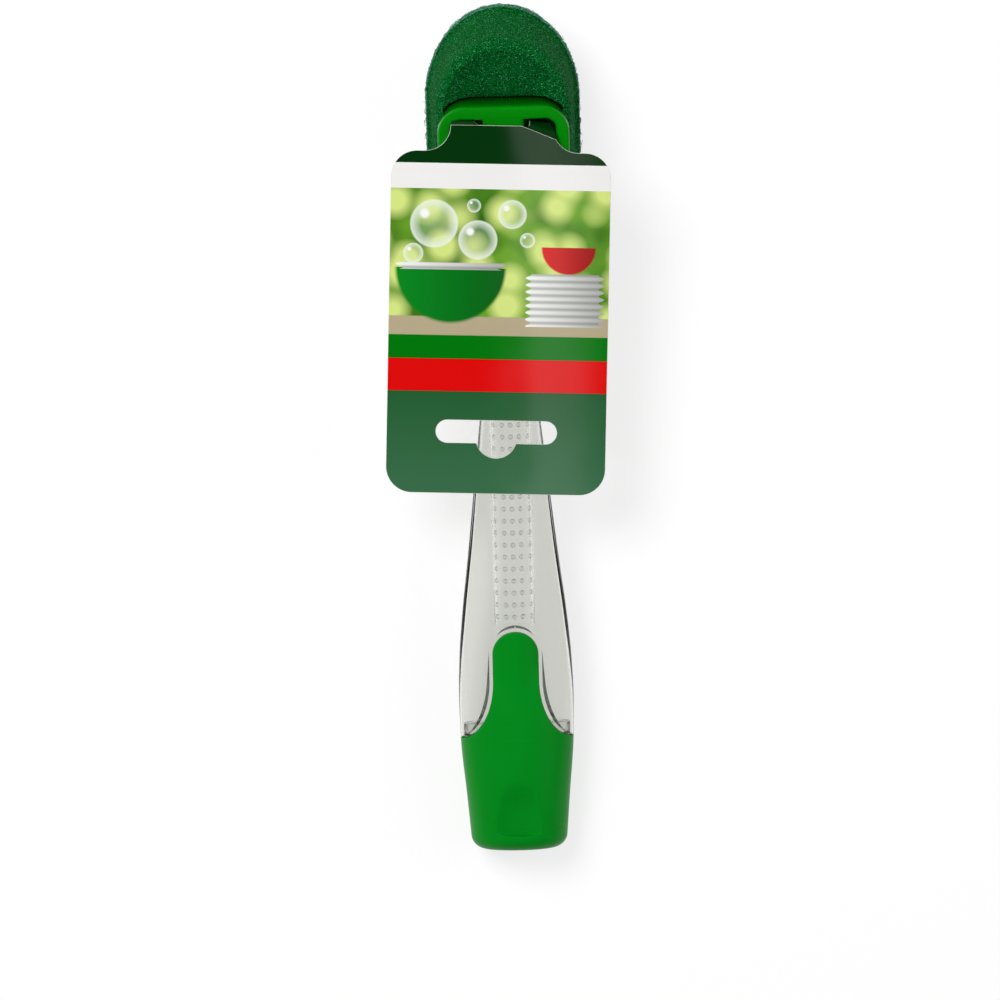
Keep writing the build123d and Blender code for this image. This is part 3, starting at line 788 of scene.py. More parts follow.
@dataclass
class ReservoirHandle:
    """The clear shell with its ridge, spigot and nubs."""

    form: SwellForm = field(default_factory=SwellForm)
    outline: TongueOutline = field(default_factory=TongueOutline)
    mouth: float = 36.8
    wall: float = 1.35
    neck_end: float = 216.0
    bore_end: float = 205.0
    neck_from: float = 170.0
    spigot_end: float = 231.0
    spigot_radius: float = 4.65
    outlet_radius: float = 2.2
    valve_seat_radius: float = 3.5
    valve_seat_depth: float = 3.4
    seat_half_width: float = 17.0
    seat_rise: float = 8.0
    recess_border: float = 1.1
    recess_slant: float = 2.3
    recess_depth: float = 5.5
    roof_from: float = 60.0
    columns: int = 192
    nub_rows: int = 33
    nub_pitch: float = 3.85
    nub_start: float = 75.9
    nub_columns: int = 5
    nub_spacing: float = 2.72
    nub_radius: float = 0.8
    nub_height: float = 0.55

    def angles(self) -> np.ndarray:
        """Give the columns' angles."""
        return np.arange(self.columns) * TURN / self.columns

    def neck_ring(self, along: float, radius: float) -> np.ndarray:
        """Give a ring of the round neck, whose columns even out away from the swell."""
        even = self.angles()
        reach = self.form.circle_reach(even, radius)
        bent = np.unwrap(np.arctan2(reach * np.sin(even) - self.form.widest_drop,
                                    reach * np.cos(even)))
        bent += TURN * round((even[0] - bent[0]) / TURN)
        share = float(smooth_step(along, self.neck_from, self.bore_end - 4))
        turn = bent * (1 - share) + even * share
        return np.stack([radius * np.cos(turn), np.full(len(turn), along),
                         radius * np.sin(turn)], axis=1)

    def round_ring(self, along: float, radius: float) -> np.ndarray:
        """Give a ring about the axis with even columns."""
        even = self.angles()
        return np.stack([radius * np.cos(even), np.full(len(even), along),
                         radius * np.sin(even)], axis=1)

    def outer_rings(self) -> list[np.ndarray]:
        """Run along the outside, from the mouth to the neck's end."""
        angles, form = self.angles(), self.form
        rings = []
        for along in np.linspace(self.mouth, self.neck_from, 106):
            half, rise, depth = form.sizes(along)
            swell = form.ellipse_reach(angles, half, rise, depth)
            ridge = form.circle_reach(angles, form.neck_radius)
            rings.append(form.ring(along, soft_max(swell, ridge, form.flute_blend), angles))
        rings += [self.neck_ring(along, form.neck_radius)
                  for along in np.linspace(self.neck_from + 1.5, self.neck_end - 0.8, 32)]
        return rings

    def inner_rings(self) -> list[np.ndarray]:
        """Run along the inside, from the bore's end back to the mouth."""
        angles, form, wall = self.angles(), self.form, self.wall
        bore = form.neck_radius - wall
        hollow_start = self.outline.reach + self.recess_border + wall
        rings = [self.neck_ring(along, bore)
                 for along in np.linspace(self.bore_end, self.neck_from + 1.5, 24)]
        ends = np.linspace(self.neck_from, hollow_start, 66)
        belly = np.linspace(hollow_start - 0.2, self.mouth, 28)
        for along in np.concatenate([ends, belly]):
            half, rise, depth = form.sizes(along)
            seat = self.seat_rise - wall
            share = float(smooth_step(along, self.roof_from, hollow_start))
            roof = seat * (1 - share) + (rise - wall) * share
            reach = form.ellipse_reach(angles, half - wall, roof, depth - wall)
            if along >= hollow_start:
                reach = soft_max(reach, form.circle_reach(angles, bore), form.flute_blend)
            rings.append(form.ring(along, reach, angles))
        return rings

    def spigot_rings(self) -> list[np.ndarray]:
        """Run over the neck's end, the spigot and its mouth, and back through the outlet."""
        seat = self.spigot_end - self.valve_seat_depth
        steps = ((self.neck_end - 0.25, self.form.neck_radius - 0.25),
                 (self.neck_end, self.form.neck_radius - 0.8),
                 (self.neck_end, self.spigot_radius),
                 (self.spigot_end - 0.5, self.spigot_radius),
                 (self.spigot_end, self.spigot_radius - 0.5),
                 (self.spigot_end, self.valve_seat_radius),
                 (seat, self.valve_seat_radius), (seat, self.outlet_radius),
                 (self.bore_end, self.outlet_radius))
        return [self.round_ring(along, radius) for along, radius in steps]

    def recess_cutter(self) -> Piece:
        """Build the block that cuts the tongue's recess out of the shell.

        Its sides carry a nearly black tint, which the Boolean hands to the recess's
        walls. It is painted shade: a dark line round the tongue, where the real
        walls are clear.
        """
        columns = np.linspace(0, math.pi, 61)
        rings = []
        for low, high in zip(self.outline.rows(self.recess_border),
                             self.outline.rows(self.recess_border + self.recess_slant)):
            across = low[1] * np.cos(columns)
            share = np.clip(1 - (across / self.seat_half_width) ** 2, 0, 1)
            floor = self.seat_rise * np.sqrt(share) - self.form.widest_drop
            bottom = np.stack([across, np.full(len(columns), low[0]), floor], axis=1)
            top = np.stack([high[1] * np.cos(columns), np.full(len(columns), high[0]),
                            floor + self.recess_depth], axis=1)
            rings.append(np.concatenate([top, bottom[::-1]]))
        rings.insert(0, rings[0] - (0, 4, 0))
        points, faces = closed_loft(rings)
        cutter = new_piece("recess_cutter", points, faces, PLACES.wand())
        for finish in (CLEAR, PAINTED_SHADE_EDGE):
            cutter.data.materials.append(finish.material())
        count = len(rings[0])
        # The cutter's slanted sides, whose faces have two corners in the upper row, take the
        # near-black painted shade.
        for face in cutter.data.polygons:
            high = sum(corner % count < len(columns) for corner in face.vertices)
            face.material_index = int(high == 2)
        return cutter

    def shell(self) -> Piece:
        """Build the shell and cut the tongue's recess into it."""
        rings = self.outer_rings() + self.spigot_rings() + self.inner_rings()
        points, faces = closed_loft(rings, around=True)
        piece = new_piece("clear_reservoir_shell", points, faces, PLACES.wand(), 32.0)
        CLEAR.put_on(piece)
        cutter = self.recess_cutter()
        cut = piece.modifiers.new("recess", "BOOLEAN")
        cut.operation = "DIFFERENCE"
        cut.solver = "EXACT"
        # The transfer carries the cutter's painted shade onto the recess's walls.
        cut.material_mode = "TRANSFER"
        cut.object = cutter
        settle(piece)
        bpy.data.objects.remove(cutter)
        piece.data.shade_smooth()
        piece.data.set_sharp_from_angle(angle=math.radians(32.0))
        return piece

    def nub_tree(self) -> Tree:
        """Build the node tree that sets rows of low domes round the ridge."""
        tree, given = start_tree("ridge_nubs", {
            "Rows": "Int", "Columns": "Int", "Pitch": "Float", "Spacing": "Float",
            "Ridge Radius": "Float", "Nub Radius": "Float", "Nub Height": "Float"})
        grid = add_node(tree, "GeometryNodeMeshGrid",
                        {"Size X": 1.0, "Size Y": 1.0, "Vertices X": given["Columns"],
                         "Vertices Y": given["Rows"]})
        number = add_node(tree, "GeometryNodeInputIndex").outputs[0]
        column = maths(tree, "FLOOR", maths(tree, "DIVIDE", number, given["Rows"]))
        row = maths(tree, "MODULO", number, given["Rows"])
        middle = maths(tree, "DIVIDE", maths(tree, "SUBTRACT", given["Columns"], 1.0), 2.0)
        side = maths(tree, "SUBTRACT", column, middle)
        step = maths(tree, "MULTIPLY", side, given["Spacing"])
        turn = maths(tree, "ARCSINE", maths(tree, "DIVIDE", step, given["Ridge Radius"]))
        outward = vector(tree, X=maths(tree, "SINE", turn), Z=maths(tree, "COSINE", turn))
        spot = add_node(tree, "ShaderNodeVectorMath",
                        {0: outward, "Scale": given["Ridge Radius"]}, operation="SCALE")
        along = vector(tree, Y=maths(tree, "MULTIPLY", row, given["Pitch"]))
        place = add_node(tree, "ShaderNodeVectorMath", {0: spot.outputs[0], 1: along},
                         operation="ADD")
        points = add_node(tree, "GeometryNodeSetPosition",
                          {"Geometry": grid.outputs[0], "Position": place.outputs[0]})
        ball = add_node(tree, "GeometryNodeMeshUVSphere",
                        {"Segments": 12, "Rings": 8, "Radius": 1.0})
        size = vector(tree, X=given["Nub Radius"], Y=given["Nub Radius"], Z=given["Nub Height"])
        aim = add_node(tree, "FunctionNodeAlignRotationToVector", {"Vector": outward}, axis="Z")
        domes = add_node(tree, "GeometryNodeInstanceOnPoints",
                         {"Points": points.outputs[0], "Instance": ball.outputs[0],
                          "Rotation": aim.outputs[0], "Scale": size})
        return end_tree(tree, domes, CLEAR_NUB)

    def nubs(self) -> Piece:
        """Set the grip nubs along the ridge's front."""
        piece = grow("ridge_nubs", bpy.data.meshes.new("ridge_nubs"), self.nub_tree(), {
            "Rows": self.nub_rows, "Columns": self.nub_columns, "Pitch": self.nub_pitch,
            "Spacing": self.nub_spacing, "Ridge Radius": self.form.neck_radius,
            "Nub Radius": self.nub_radius, "Nub Height": self.nub_height})
        piece.data.transform(PLACES.wand() @ Matrix.Translation((0, self.nub_start, 0)))
        piece.data.shade_smooth()
        return piece

    def build(self) -> None:
        """Build, dress and place the clear pieces."""
        shell = self.shell()
        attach(shell, "handle")
        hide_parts("reservoir_shell")
        nubs = self.nubs()
        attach(nubs, "handle")
        log.info("clear shell: %d faces, nubs: %d faces", len(shell.data.polygons),
                 len(nubs.data.polygons))


@dataclass
class GripCap:
    """The green cup with its long front tongue and thumb recess."""

    form: SwellForm = field(default_factory=SwellForm)
    outline: TongueOutline = field(default_factory=TongueOutline)
    length: float = 36.5
    end_round: float = 4.4
    end_crown: float = 0.3
    floor: float = 3.2
    hollow_half_width: float = 13.2
    hollow_half_height: float = 9.2
    hollow_drop: float = 3.2
    mouth_half_height: float = 7.1
    seat_half_width: float = 17.2
    seat_rise: float = 8.2
    crown_half_width: float = 9.6
    crown_rise: float = 8.2
    crown_drop: float = 1.0
    ledge_place: float = 5.9
    thumb_top: float = 23.4
    thumb_floor: float = 7.2
    thumb_bow: float = 1.0
    thumb_lip: float = 9.3
    bow_half_width: float = 7.2
    bow_end: float = 14.0
    dent_blend: float = 0.12
    ledge_rise: float = 0.45
    ledge_curve: float = 0.012
    edge_round: float = 0.45
    columns: int = 160

    def thumb_dent(self, ring: np.ndarray) -> np.ndarray:
        """Press the thumb recess into a ring of the cup."""
        across, along, height = ring[:, 0], ring[:, 1], ring[:, 2]
        span = self.thumb_top - self.ledge_place
        plane = self.thumb_floor + (self.thumb_lip - self.thumb_floor) * (
            (along - self.ledge_place) / span)
        plane -= self.thumb_bow * np.clip(1 - (across / self.bow_half_width) ** 2, 0, 1) * (
            1 - smooth_step(along, self.bow_end, self.thumb_top))
        dent = soft_max(height - plane, np.zeros(len(ring)), self.dent_blend) - self.dent_blend / 2
        ledge = self.ledge_place - self.ledge_rise + self.ledge_curve * across ** 2
        share = smooth_step(along - ledge, -0.25, 0.3) * (height > 0)
        ring = ring.copy()
        ring[:, 2] -= np.clip(dent, 0, None) * share
        return ring

    def cup_ring(self, along: float, inset: float, angles: np.ndarray) -> np.ndarray:
        """Give a ring of the cup's outside, drawn in for its rounded end."""
        half, rise, depth = self.form.sizes(along)
        reach = self.form.ellipse_reach(angles, half, rise, depth) - inset
        return self.form.ring(along, reach, angles)

    def outer_rings(self, angles: np.ndarray) -> list[np.ndarray]:
        """Run from the middle of the cup's end, round its edge and up to the split."""
        rings = []
        for share in (0.15, 0.35, 0.55, 0.75, 0.9):
            ring = self.cup_ring(0.0, self.end_round, angles)
            middle = np.array([0, 0, -self.form.widest_drop])
            ring = middle + (ring - middle) * share
            ring[:, 1] = self.end_crown * share ** 2
            rings.append(ring)
        for turn in np.linspace(0, math.pi / 2, 13):
            inset = self.end_round * (1 - math.sin(turn))
            along = self.end_crown + (self.end_round - self.end_crown) * (1 - math.cos(turn))
            rings.append(self.cup_ring(along, inset, angles))
        places = np.concatenate([np.linspace(self.end_round, 7.4, 22)[1:],
                                 np.linspace(7.4, self.length - 0.3, 60)[1:]])
        rings += [self.thumb_dent(self.cup_ring(along, 0.0, angles)) for along in places]
        split = self.cup_ring(self.length, 0.0, angles)
        lower = np.sin(angles) < -1e-6
        drawn = self.cup_ring(self.length, 0.3, angles)
        split[lower] = drawn[lower]
        rings.append(split)
        return rings

    def top_height(self, across: np.ndarray, along: float) -> np.ndarray:
        """Give the tongue's upper surface."""
        half, rise, _ = self.form.sizes(along)
        dome = rise * np.sqrt(np.clip(1 - (across / half) ** 2, 0, 1)) - self.form.widest_drop
        round_share = np.clip(1 - (across / self.crown_half_width) ** 2, 0, 1)
        crown = self.crown_rise * np.sqrt(round_share) - self.crown_drop
        crown = np.where(round_share > 0, crown, -self.form.widest_drop - 2)
        sunk = 3.0 * (1 - float(smooth_step(along, self.length, self.length + 8)))
        return soft_max(dome, crown - sunk, 0.5) - 0.03

    def tongue_rows(self, split: np.ndarray, columns: int) -> tuple[list[np.ndarray],
                                                                    list[np.ndarray]]:
        """Run the tongue's upper and lower surface out from the split.

        Args:
            split: the upper half of the cup's last ring.
            columns: how many points a row has.

        Returns:
            The rows of the upper and of the lower surface.
        """
        shares = split[:, 0] / split[0, 0]
        rows = self.outline.rows(0.0)
        tops, floors = [], []
        for number, (along, width) in enumerate(rows):
            half = self.form.sizes(along)[0]
            seat = min(width, self.seat_half_width) * shares
            arch = np.sqrt(np.clip(1 - (seat / self.seat_half_width) ** 2, 0, 1))
            floors.append(np.stack([seat, np.full(columns, along),
                                    self.seat_rise * arch - self.form.widest_drop], axis=1))
            if number == 0:
                tops.append(split)
                continue
            across = min(width, half) * shares
            height = self.top_height(across, along)
            before, after = rows[number - 1], rows[min(number + 1, len(rows) - 1)]
            slope = (after[1] - before[1]) / (after[0] - before[0])
            gap = (width - np.abs(across)) / math.hypot(1, slope)
            tip_gap = self.outline.reach - along
            gap = np.minimum(gap, tip_gap) if along > self.outline.reach - 2 else gap
            near = np.clip(self.edge_round - gap, 0, self.edge_round)
            if width < half:
                height -= self.edge_round - np.sqrt(self.edge_round ** 2 - near ** 2)
            tops.append(np.stack([across, np.full(columns, along), height], axis=1))
        return tops, floors

    def mesh(self) -> tuple[np.ndarray, Faces]:
        """Join the cup, the tongue and the hollow into one closed skin."""
        count = self.columns
        angles = np.arange(count) * TURN / count
        half = count // 2
        upper = np.arange(half + 1)
        lower = np.r_[np.arange(half, count), 0]
        outer = self.outer_rings(angles)
        tops, floors = self.tongue_rows(outer[-1][upper], half + 1)
        depth = self.form.sizes(self.length)[2] - 0.95
        middle = np.stack([self.seat_half_width * np.cos(angles), np.full(count, self.length),
                           depth * np.sin(angles) - self.form.widest_drop], axis=1)
        middle[upper] = floors[0]
        hollow = []
        for along, tall in ((self.length, self.mouth_half_height),
                            (self.length - 3, self.mouth_half_height + 0.9),
                            (self.length - 8, self.hollow_half_height),
                            (self.floor + 0.8, self.hollow_half_height),
                            (self.floor, self.hollow_half_height - 0.8)):
            narrow = 0.8 if along == self.floor else 0.0
            hollow.append(np.stack([(self.hollow_half_width - narrow) * np.cos(angles),
                                    np.full(count, along),
                                    tall * np.sin(angles) - self.hollow_drop], axis=1))
        cup, faces = closed_loft(outer, ends=(True, False))
        split = np.arange((len(outer) - 1) * count, len(outer) * count)
        inside, inside_faces = closed_loft([middle] + hollow, ends=(False, True))
        start = len(cup)
        rim = start + np.arange(count)
        faces += [tuple(n + start for n in face) for face in inside_faces]
        faces += strip_faces(split[lower], rim[lower], False)
        blocks, size = [cup, inside], len(cup) + len(inside)
        top_before, floor_before = split[upper], rim[upper]
        for top, floor in zip(tops[1:], floors[1:]):
            top_now = size + upper
            floor_now = top_now + half + 1
            size += 2 * (half + 1)
            blocks += [top, floor]
            faces += strip_faces(top_before, top_now, False)
            faces += strip_faces(floor_before, floor_now, False)
            for end in (0, half):
                faces.append((int(top_before[end]), int(top_now[end]), int(floor_now[end]),
                              int(floor_before[end])))
            top_before, floor_before = top_now, floor_now
        faces += strip_faces(top_before, floor_before, False)
        return np.concatenate(blocks), faces

    def build(self) -> None:
        """Build, dress and place the cap."""
        points, faces = self.mesh()
        cap = new_piece("green_grip_cap", points, faces, PLACES.wand(), 38.0)
        CAP_GREEN.put_on(cap)
        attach(cap, "cap")
        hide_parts("grip_cap")
        log.info("grip cap: %d faces", len(cap.data.polygons))


@dataclass
class ScrubHead:
    """The base, the foam body and the scouring layer."""

    middle: float = -14.0
    half_width: float = 24.8
    toe: float = 31.0
    heel: float = 44.7
    toe_depth: float = 31.0
    heel_corner: float = 13.0
    crest: float = 24.2
    side_inset: float = 3.2
    toe_inset: float = 6.4
    heel_inset: float = 3.0
    crest_round: float = 3.0
    web_thickness: float = 3.3
    glue_gap: float = 0.2
    base_half_width: float = 21.0
    base_length: float = 41.4
    rim_width: float = 4.2
    base_corner: float = 9.0
    base_heel_corner: float = 2.2
    pocket_gap: float = 0.3
    pocket_floor: float = 14.1
    web_ledge: float = 1.5
    flare: float = 0.9
    flare_height: float = 2.5
    heel_sink: float = 2.8
    sink_reach: float = 25.0
    sink_from: float = 16.0
    sink_span: float = 8.0
    valley_reach: float = 12.0
    web_round: float = 1.6
    pit_reach: float = 0.62
    bulge_size: float = 14.0
    fibre_density: float = 7.0e5
    fibre_length: float = 1.9
    fibre_thickness: float = 0.07
    fibre_rise: float = 0.35
    fibre_seed: int = 7
    valley: float = 4.0
    roll: float = 1.8
    columns: int = 420

    def angles(self) -> np.ndarray:
        """Give the columns' angles."""
        return np.arange(self.columns) * TURN / self.columns

    def reach_of(self, outline: np.ndarray) -> np.ndarray:
        """Read an outline's reach from the head's middle at the columns' angles."""
        angles = np.arctan2(outline[:, 1] - self.middle, outline[:, 0])
        reach = np.hypot(outline[:, 0], outline[:, 1] - self.middle)
        order = np.argsort(angles)
        return np.interp(self.angles(), angles[order], reach[order], period=TURN)

    def rounded(self, corners: list[tuple[float, float, float, float, float]]) -> np.ndarray:
        """String quarter turns together: middle, radii and the angle each starts at."""
        points = []
        for across, along, wide, tall, start in corners:
            for turn in np.radians(np.linspace(start, start + 90, 40)):
                points.append((across + wide * math.cos(turn), along + tall * math.sin(turn)))
        dense = []
        for (x0, y0), (x1, y1) in zip(points, points[1:] + points[:1]):
            steps = max(1, int(math.hypot(x1 - x0, y1 - y0) / 0.2))
            dense += [(x0 + (x1 - x0) * k / steps, y0 + (y1 - y0) * k / steps)
                      for k in range(steps)]
        return np.array(dense)

    def pad_reach(self, side: float, toe: float, heel: float) -> np.ndarray:
        """Give the pad's outline, drawn in at its sides, toe and heel."""
        half, corner = self.half_width - side, self.heel_corner - side
        base, low = self.toe - self.toe_depth, heel - self.heel
        tall = self.toe_depth - toe
        return self.reach_of(self.rounded([
            (0, base, half, tall, 0), (0, base, half, tall, 90),
            (corner - half, low + corner, corner, corner, 180),
            (half - corner, low + corner, corner, corner, 270)]))

    def base_reach(self, margin: float) -> np.ndarray:
        """Give the base's outline, grown by a margin."""
        half, toe = self.base_half_width + margin, self.rim_width + margin
        heel = self.rim_width - self.base_length - margin
        far, near = self.base_corner + margin, self.base_heel_corner + margin
        return self.reach_of(self.rounded([
            (half - far, toe - far, far, far, 0), (far - half, toe - far, far, far, 90),
            (near - half, heel + near, near, near, 180),
            (half - near, heel + near, near, near, 270)]))

    def ring(self, reach: np.ndarray, height: float | np.ndarray) -> np.ndarray:
        """Place a ring of points from their reach about the head's middle."""
        angles = self.angles()
        tall = np.broadcast_to(np.asarray(height, float), angles.shape)
        return np.stack([reach * np.cos(angles), self.middle + reach * np.sin(angles), tall],
                        axis=1)

    def foam_rings(self) -> tuple[list[np.ndarray], list[float]]:
        """Run over the foam, from under it, up its sides and down into the base's pocket.

        Returns:
            The rings, and how much of the cells' relief each one takes.
        """
        bottom = self.web_thickness + self.glue_gap
        wide = self.pad_reach(0, 0, 0) - self.web_ledge
        narrow = self.pad_reach(self.side_inset, self.toe_inset, self.heel_inset)
        pocket = self.base_reach(self.pocket_gap)
        rings, relief = [], []
        for share in (0.3, 0.6, 0.9):
            rings.append(self.ring(wide * share, bottom))
            relief.append(0.0)
        shoulder = self.crest - self.crest_round
        for height in np.linspace(bottom, shoulder, 32):
            share = (height - bottom) / (self.crest - bottom)
            flare = self.flare * max(0.0, 1 - (height - bottom) / self.flare_height) ** 2
            rings.append(self.ring(wide + flare + (narrow - wide) * share, height))
            relief.append(1.0 if height > bottom else 0.0)
        for turn in np.linspace(0, math.pi / 2, 11)[1:]:
            height = shoulder + self.crest_round * math.sin(turn)
            share = (height - bottom) / (self.crest - bottom)
            inset = self.crest_round * (1 - math.cos(turn))
            rings.append(self.ring(wide + (narrow - wide) * share - inset, height))
            relief.append(1.0)
        edge = narrow - self.crest_round
        for share in np.linspace(0, 1, 28)[1:]:
            inner = np.minimum(pocket, edge)
            near = np.clip((edge - inner) / self.valley_reach, 0, 1)
            drop = near * (self.valley * (1 - (1 - share) ** 1.9) + self.roll * share ** 4)
            rings.append(self.ring(edge + (inner + 0.5 - edge) * share, self.crest - drop))
            relief.append(1.0 - 0.4 * share)
        for height in (self.crest - self.valley - self.roll - 0.4, 16.5, self.pocket_floor):
            rings.append(self.ring(pocket, height))
            relief.append(0.2)
        for share in (0.7, 0.35):
            rings.append(self.ring(pocket * share, self.pocket_floor))
            relief.append(0.0)
        for ring in rings:
            behind = smooth_step(-ring[:, 1], 0.0, self.sink_reach)
            share = np.clip((ring[:, 2] - self.sink_from) / self.sink_span, 0, 1)
            ring[:, 2] -= self.heel_sink * behind * share
        return rings, relief

    def web_rings(self) -> tuple[list[np.ndarray], list[float]]:
        """Run over the scouring layer, from the middle of its face round its edge."""
        wide = self.pad_reach(0, 0, 0)
        round_edge = self.web_round
        rings, relief = [], []
        for share in np.linspace(0.06, 1, 34)[:-1]:
            rings.append(self.ring((wide - round_edge) * share, 0.0))
            relief.append(1.0)
        for turn in np.linspace(0, math.pi / 2, 7):
            inset = round_edge * (1 - math.sin(turn))
            rings.append(self.ring(wide - inset, round_edge * (1 - math.cos(turn))))
            relief.append(1.0)
        for height in (2.1, 2.7, self.web_thickness):
            rings.append(self.ring(wide, height))
            relief.append(1.0)
        for share in (0.985, 0.97, 0.955, 0.94, 0.925, 0.88, 0.5, 0.1):
            rings.append(self.ring(wide * share, self.web_thickness))
            relief.append(1.0 if share > 0.9 else 0.0)
        return rings, relief

    def roughen(self, piece: Piece, relief: np.ndarray, cell: float, depth: float,
                swell: float, keep_above: float) -> None:
        """Pit a piece's surface with cells and let it bulge softly.

        Args:
            piece: the piece, in metres of the row frame.
            relief: how much of the relief each vertex takes.
            cell: the size of a pit in millimetres.
            depth: how deep a pit is.
            swell: how far the soft bulges reach.
            keep_above: no vertex ends lower than this height of the row frame.
        """
        mesh = piece.data
        places = np.empty(3 * len(mesh.vertices))
        normals = np.empty(3 * len(mesh.vertices))
        mesh.vertices.foreach_get("co", places)
        mesh.vertex_normals.foreach_get("vector", normals)
        places, normals = places.reshape(-1, 3), normals.reshape(-1, 3)
        push = np.zeros(len(places))
        for number in np.nonzero(relief)[0]:
            spot = Vector(places[number]) / METRES
            wall = noise.voronoi(spot / cell)[0][0]
            pit = max(0.0, self.pit_reach - wall) / self.pit_reach
            push[number] = swell * noise.noise(spot / self.bulge_size) - depth * pit
        places += normals * (push * relief * METRES)[:, None]
        places[:, 2] = np.maximum(places[:, 2], keep_above)
        mesh.vertices.foreach_set("co", places.ravel())
        mesh.update()

    def padded_piece(self, name: str, rings: list[np.ndarray], relief: list[float], cell: float,
                     depth: float, swell: float) -> Piece:
        """Skin the rings of a soft piece and roughen it."""
        points, faces = closed_loft(rings)
        piece = new_piece(name, points, faces, PLACES.head(), 180.0)
        shares = np.repeat(np.array(relief), self.columns)
        shares = np.concatenate([shares, [relief[0], relief[-1]]])
        if len(shares) != len(piece.data.vertices):
            raise ValueError(f"{name} lost vertices")
        self.roughen(piece, shares, cell, depth, swell, 0.0)
        return piece

    def fibre_tree(self) -> Tree:
        """Build the node tree that strews bent fibres over a surface."""
        tree, given = start_tree("web_fibres", {
            "Geometry": "Geometry", "Density": "Float", "Length": "Float",
            "Thickness": "Float", "Rise": "Float", "Seed": "Int"})
        points = add_node(tree, "GeometryNodeDistributePointsOnFaces",
                          {"Mesh": given["Geometry"], "Density": given["Density"],
                           "Seed": given["Seed"]})
        half, less = (maths(tree, "MULTIPLY", given["Length"], share) for share in (0.5, -0.5))
        line = add_node(tree, "GeometryNodeCurveQuadraticBezier",
                        {"Resolution": 5, "Start": vector(tree, X=less),
                         "Middle": vector(tree, Y=less, Z=given["Rise"]),
                         "End": vector(tree, X=half)})
        profile = add_node(tree, "GeometryNodeCurvePrimitiveCircle",
                           {"Resolution": 3, "Radius": given["Thickness"]})
        fibre = add_node(tree, "GeometryNodeCurveToMesh",
                         {"Curve": line.outputs[0], "Profile Curve": profile.outputs[0],
                          "Fill Caps": True})
        spin, size = (add_node(tree, "FunctionNodeRandomValue",
                               {"Min": low, "Max": high, "Seed": given["Seed"]},
                               data_type="FLOAT_VECTOR").outputs[0]
                      for low, high in (((0.0, 0.0, 0.0), (0.0, 0.0, TURN)),
                                        ((0.6, 0.6, 0.6), (1.3, 1.3, 1.3))))
        turned = add_node(tree, "FunctionNodeRotateRotation",
                          {"Rotation": points.outputs["Rotation"], "Rotate By": spin},
                          rotation_space="LOCAL")
        strewn = add_node(tree, "GeometryNodeInstanceOnPoints",
                          {"Points": points.outputs["Points"], "Instance": fibre.outputs[0],
                           "Rotation": turned.outputs[0], "Scale": size})
        return end_tree(tree, strewn, GRIT_FIBRE)

    def fibres(self, web: Piece) -> Piece:
        """Strew fibres over the scouring layer's face and edge."""
        return grow("scourer_fibres", web.data.copy(), self.fibre_tree(), {
            "Density": self.fibre_density, "Length": self.fibre_length * METRES,
            "Thickness": self.fibre_thickness * METRES, "Rise": self.fibre_rise * METRES,
            "Seed": self.fibre_seed})

    def build(self) -> None:
        """Build, dress and place the head's pieces."""
        base = cad_copy("head_base", "green_head_base")
        BASE_GREEN.put_on(base)
        rings, relief = self.foam_rings()
        foam = self.padded_piece("green_foam_body", rings, relief, 1.15, 0.5, 0.45)
        FOAM.put_on(foam)
        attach(foam, "head")
        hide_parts("sponge_foam")
        rings, relief = self.web_rings()
        web = self.padded_piece("scouring_web", rings, relief, 1.5, 0.45, 0.2)
        SCOURER.put_on(web)
        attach(web, "head")
        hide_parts("scour_pad")
        fibres = self.fibres(web)
        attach(fibres, "head")
        log.info("head: foam %d faces, web %d faces, fibres %d faces", len(foam.data.polygons),
                 len(web.data.polygons), len(fibres.data.polygons))


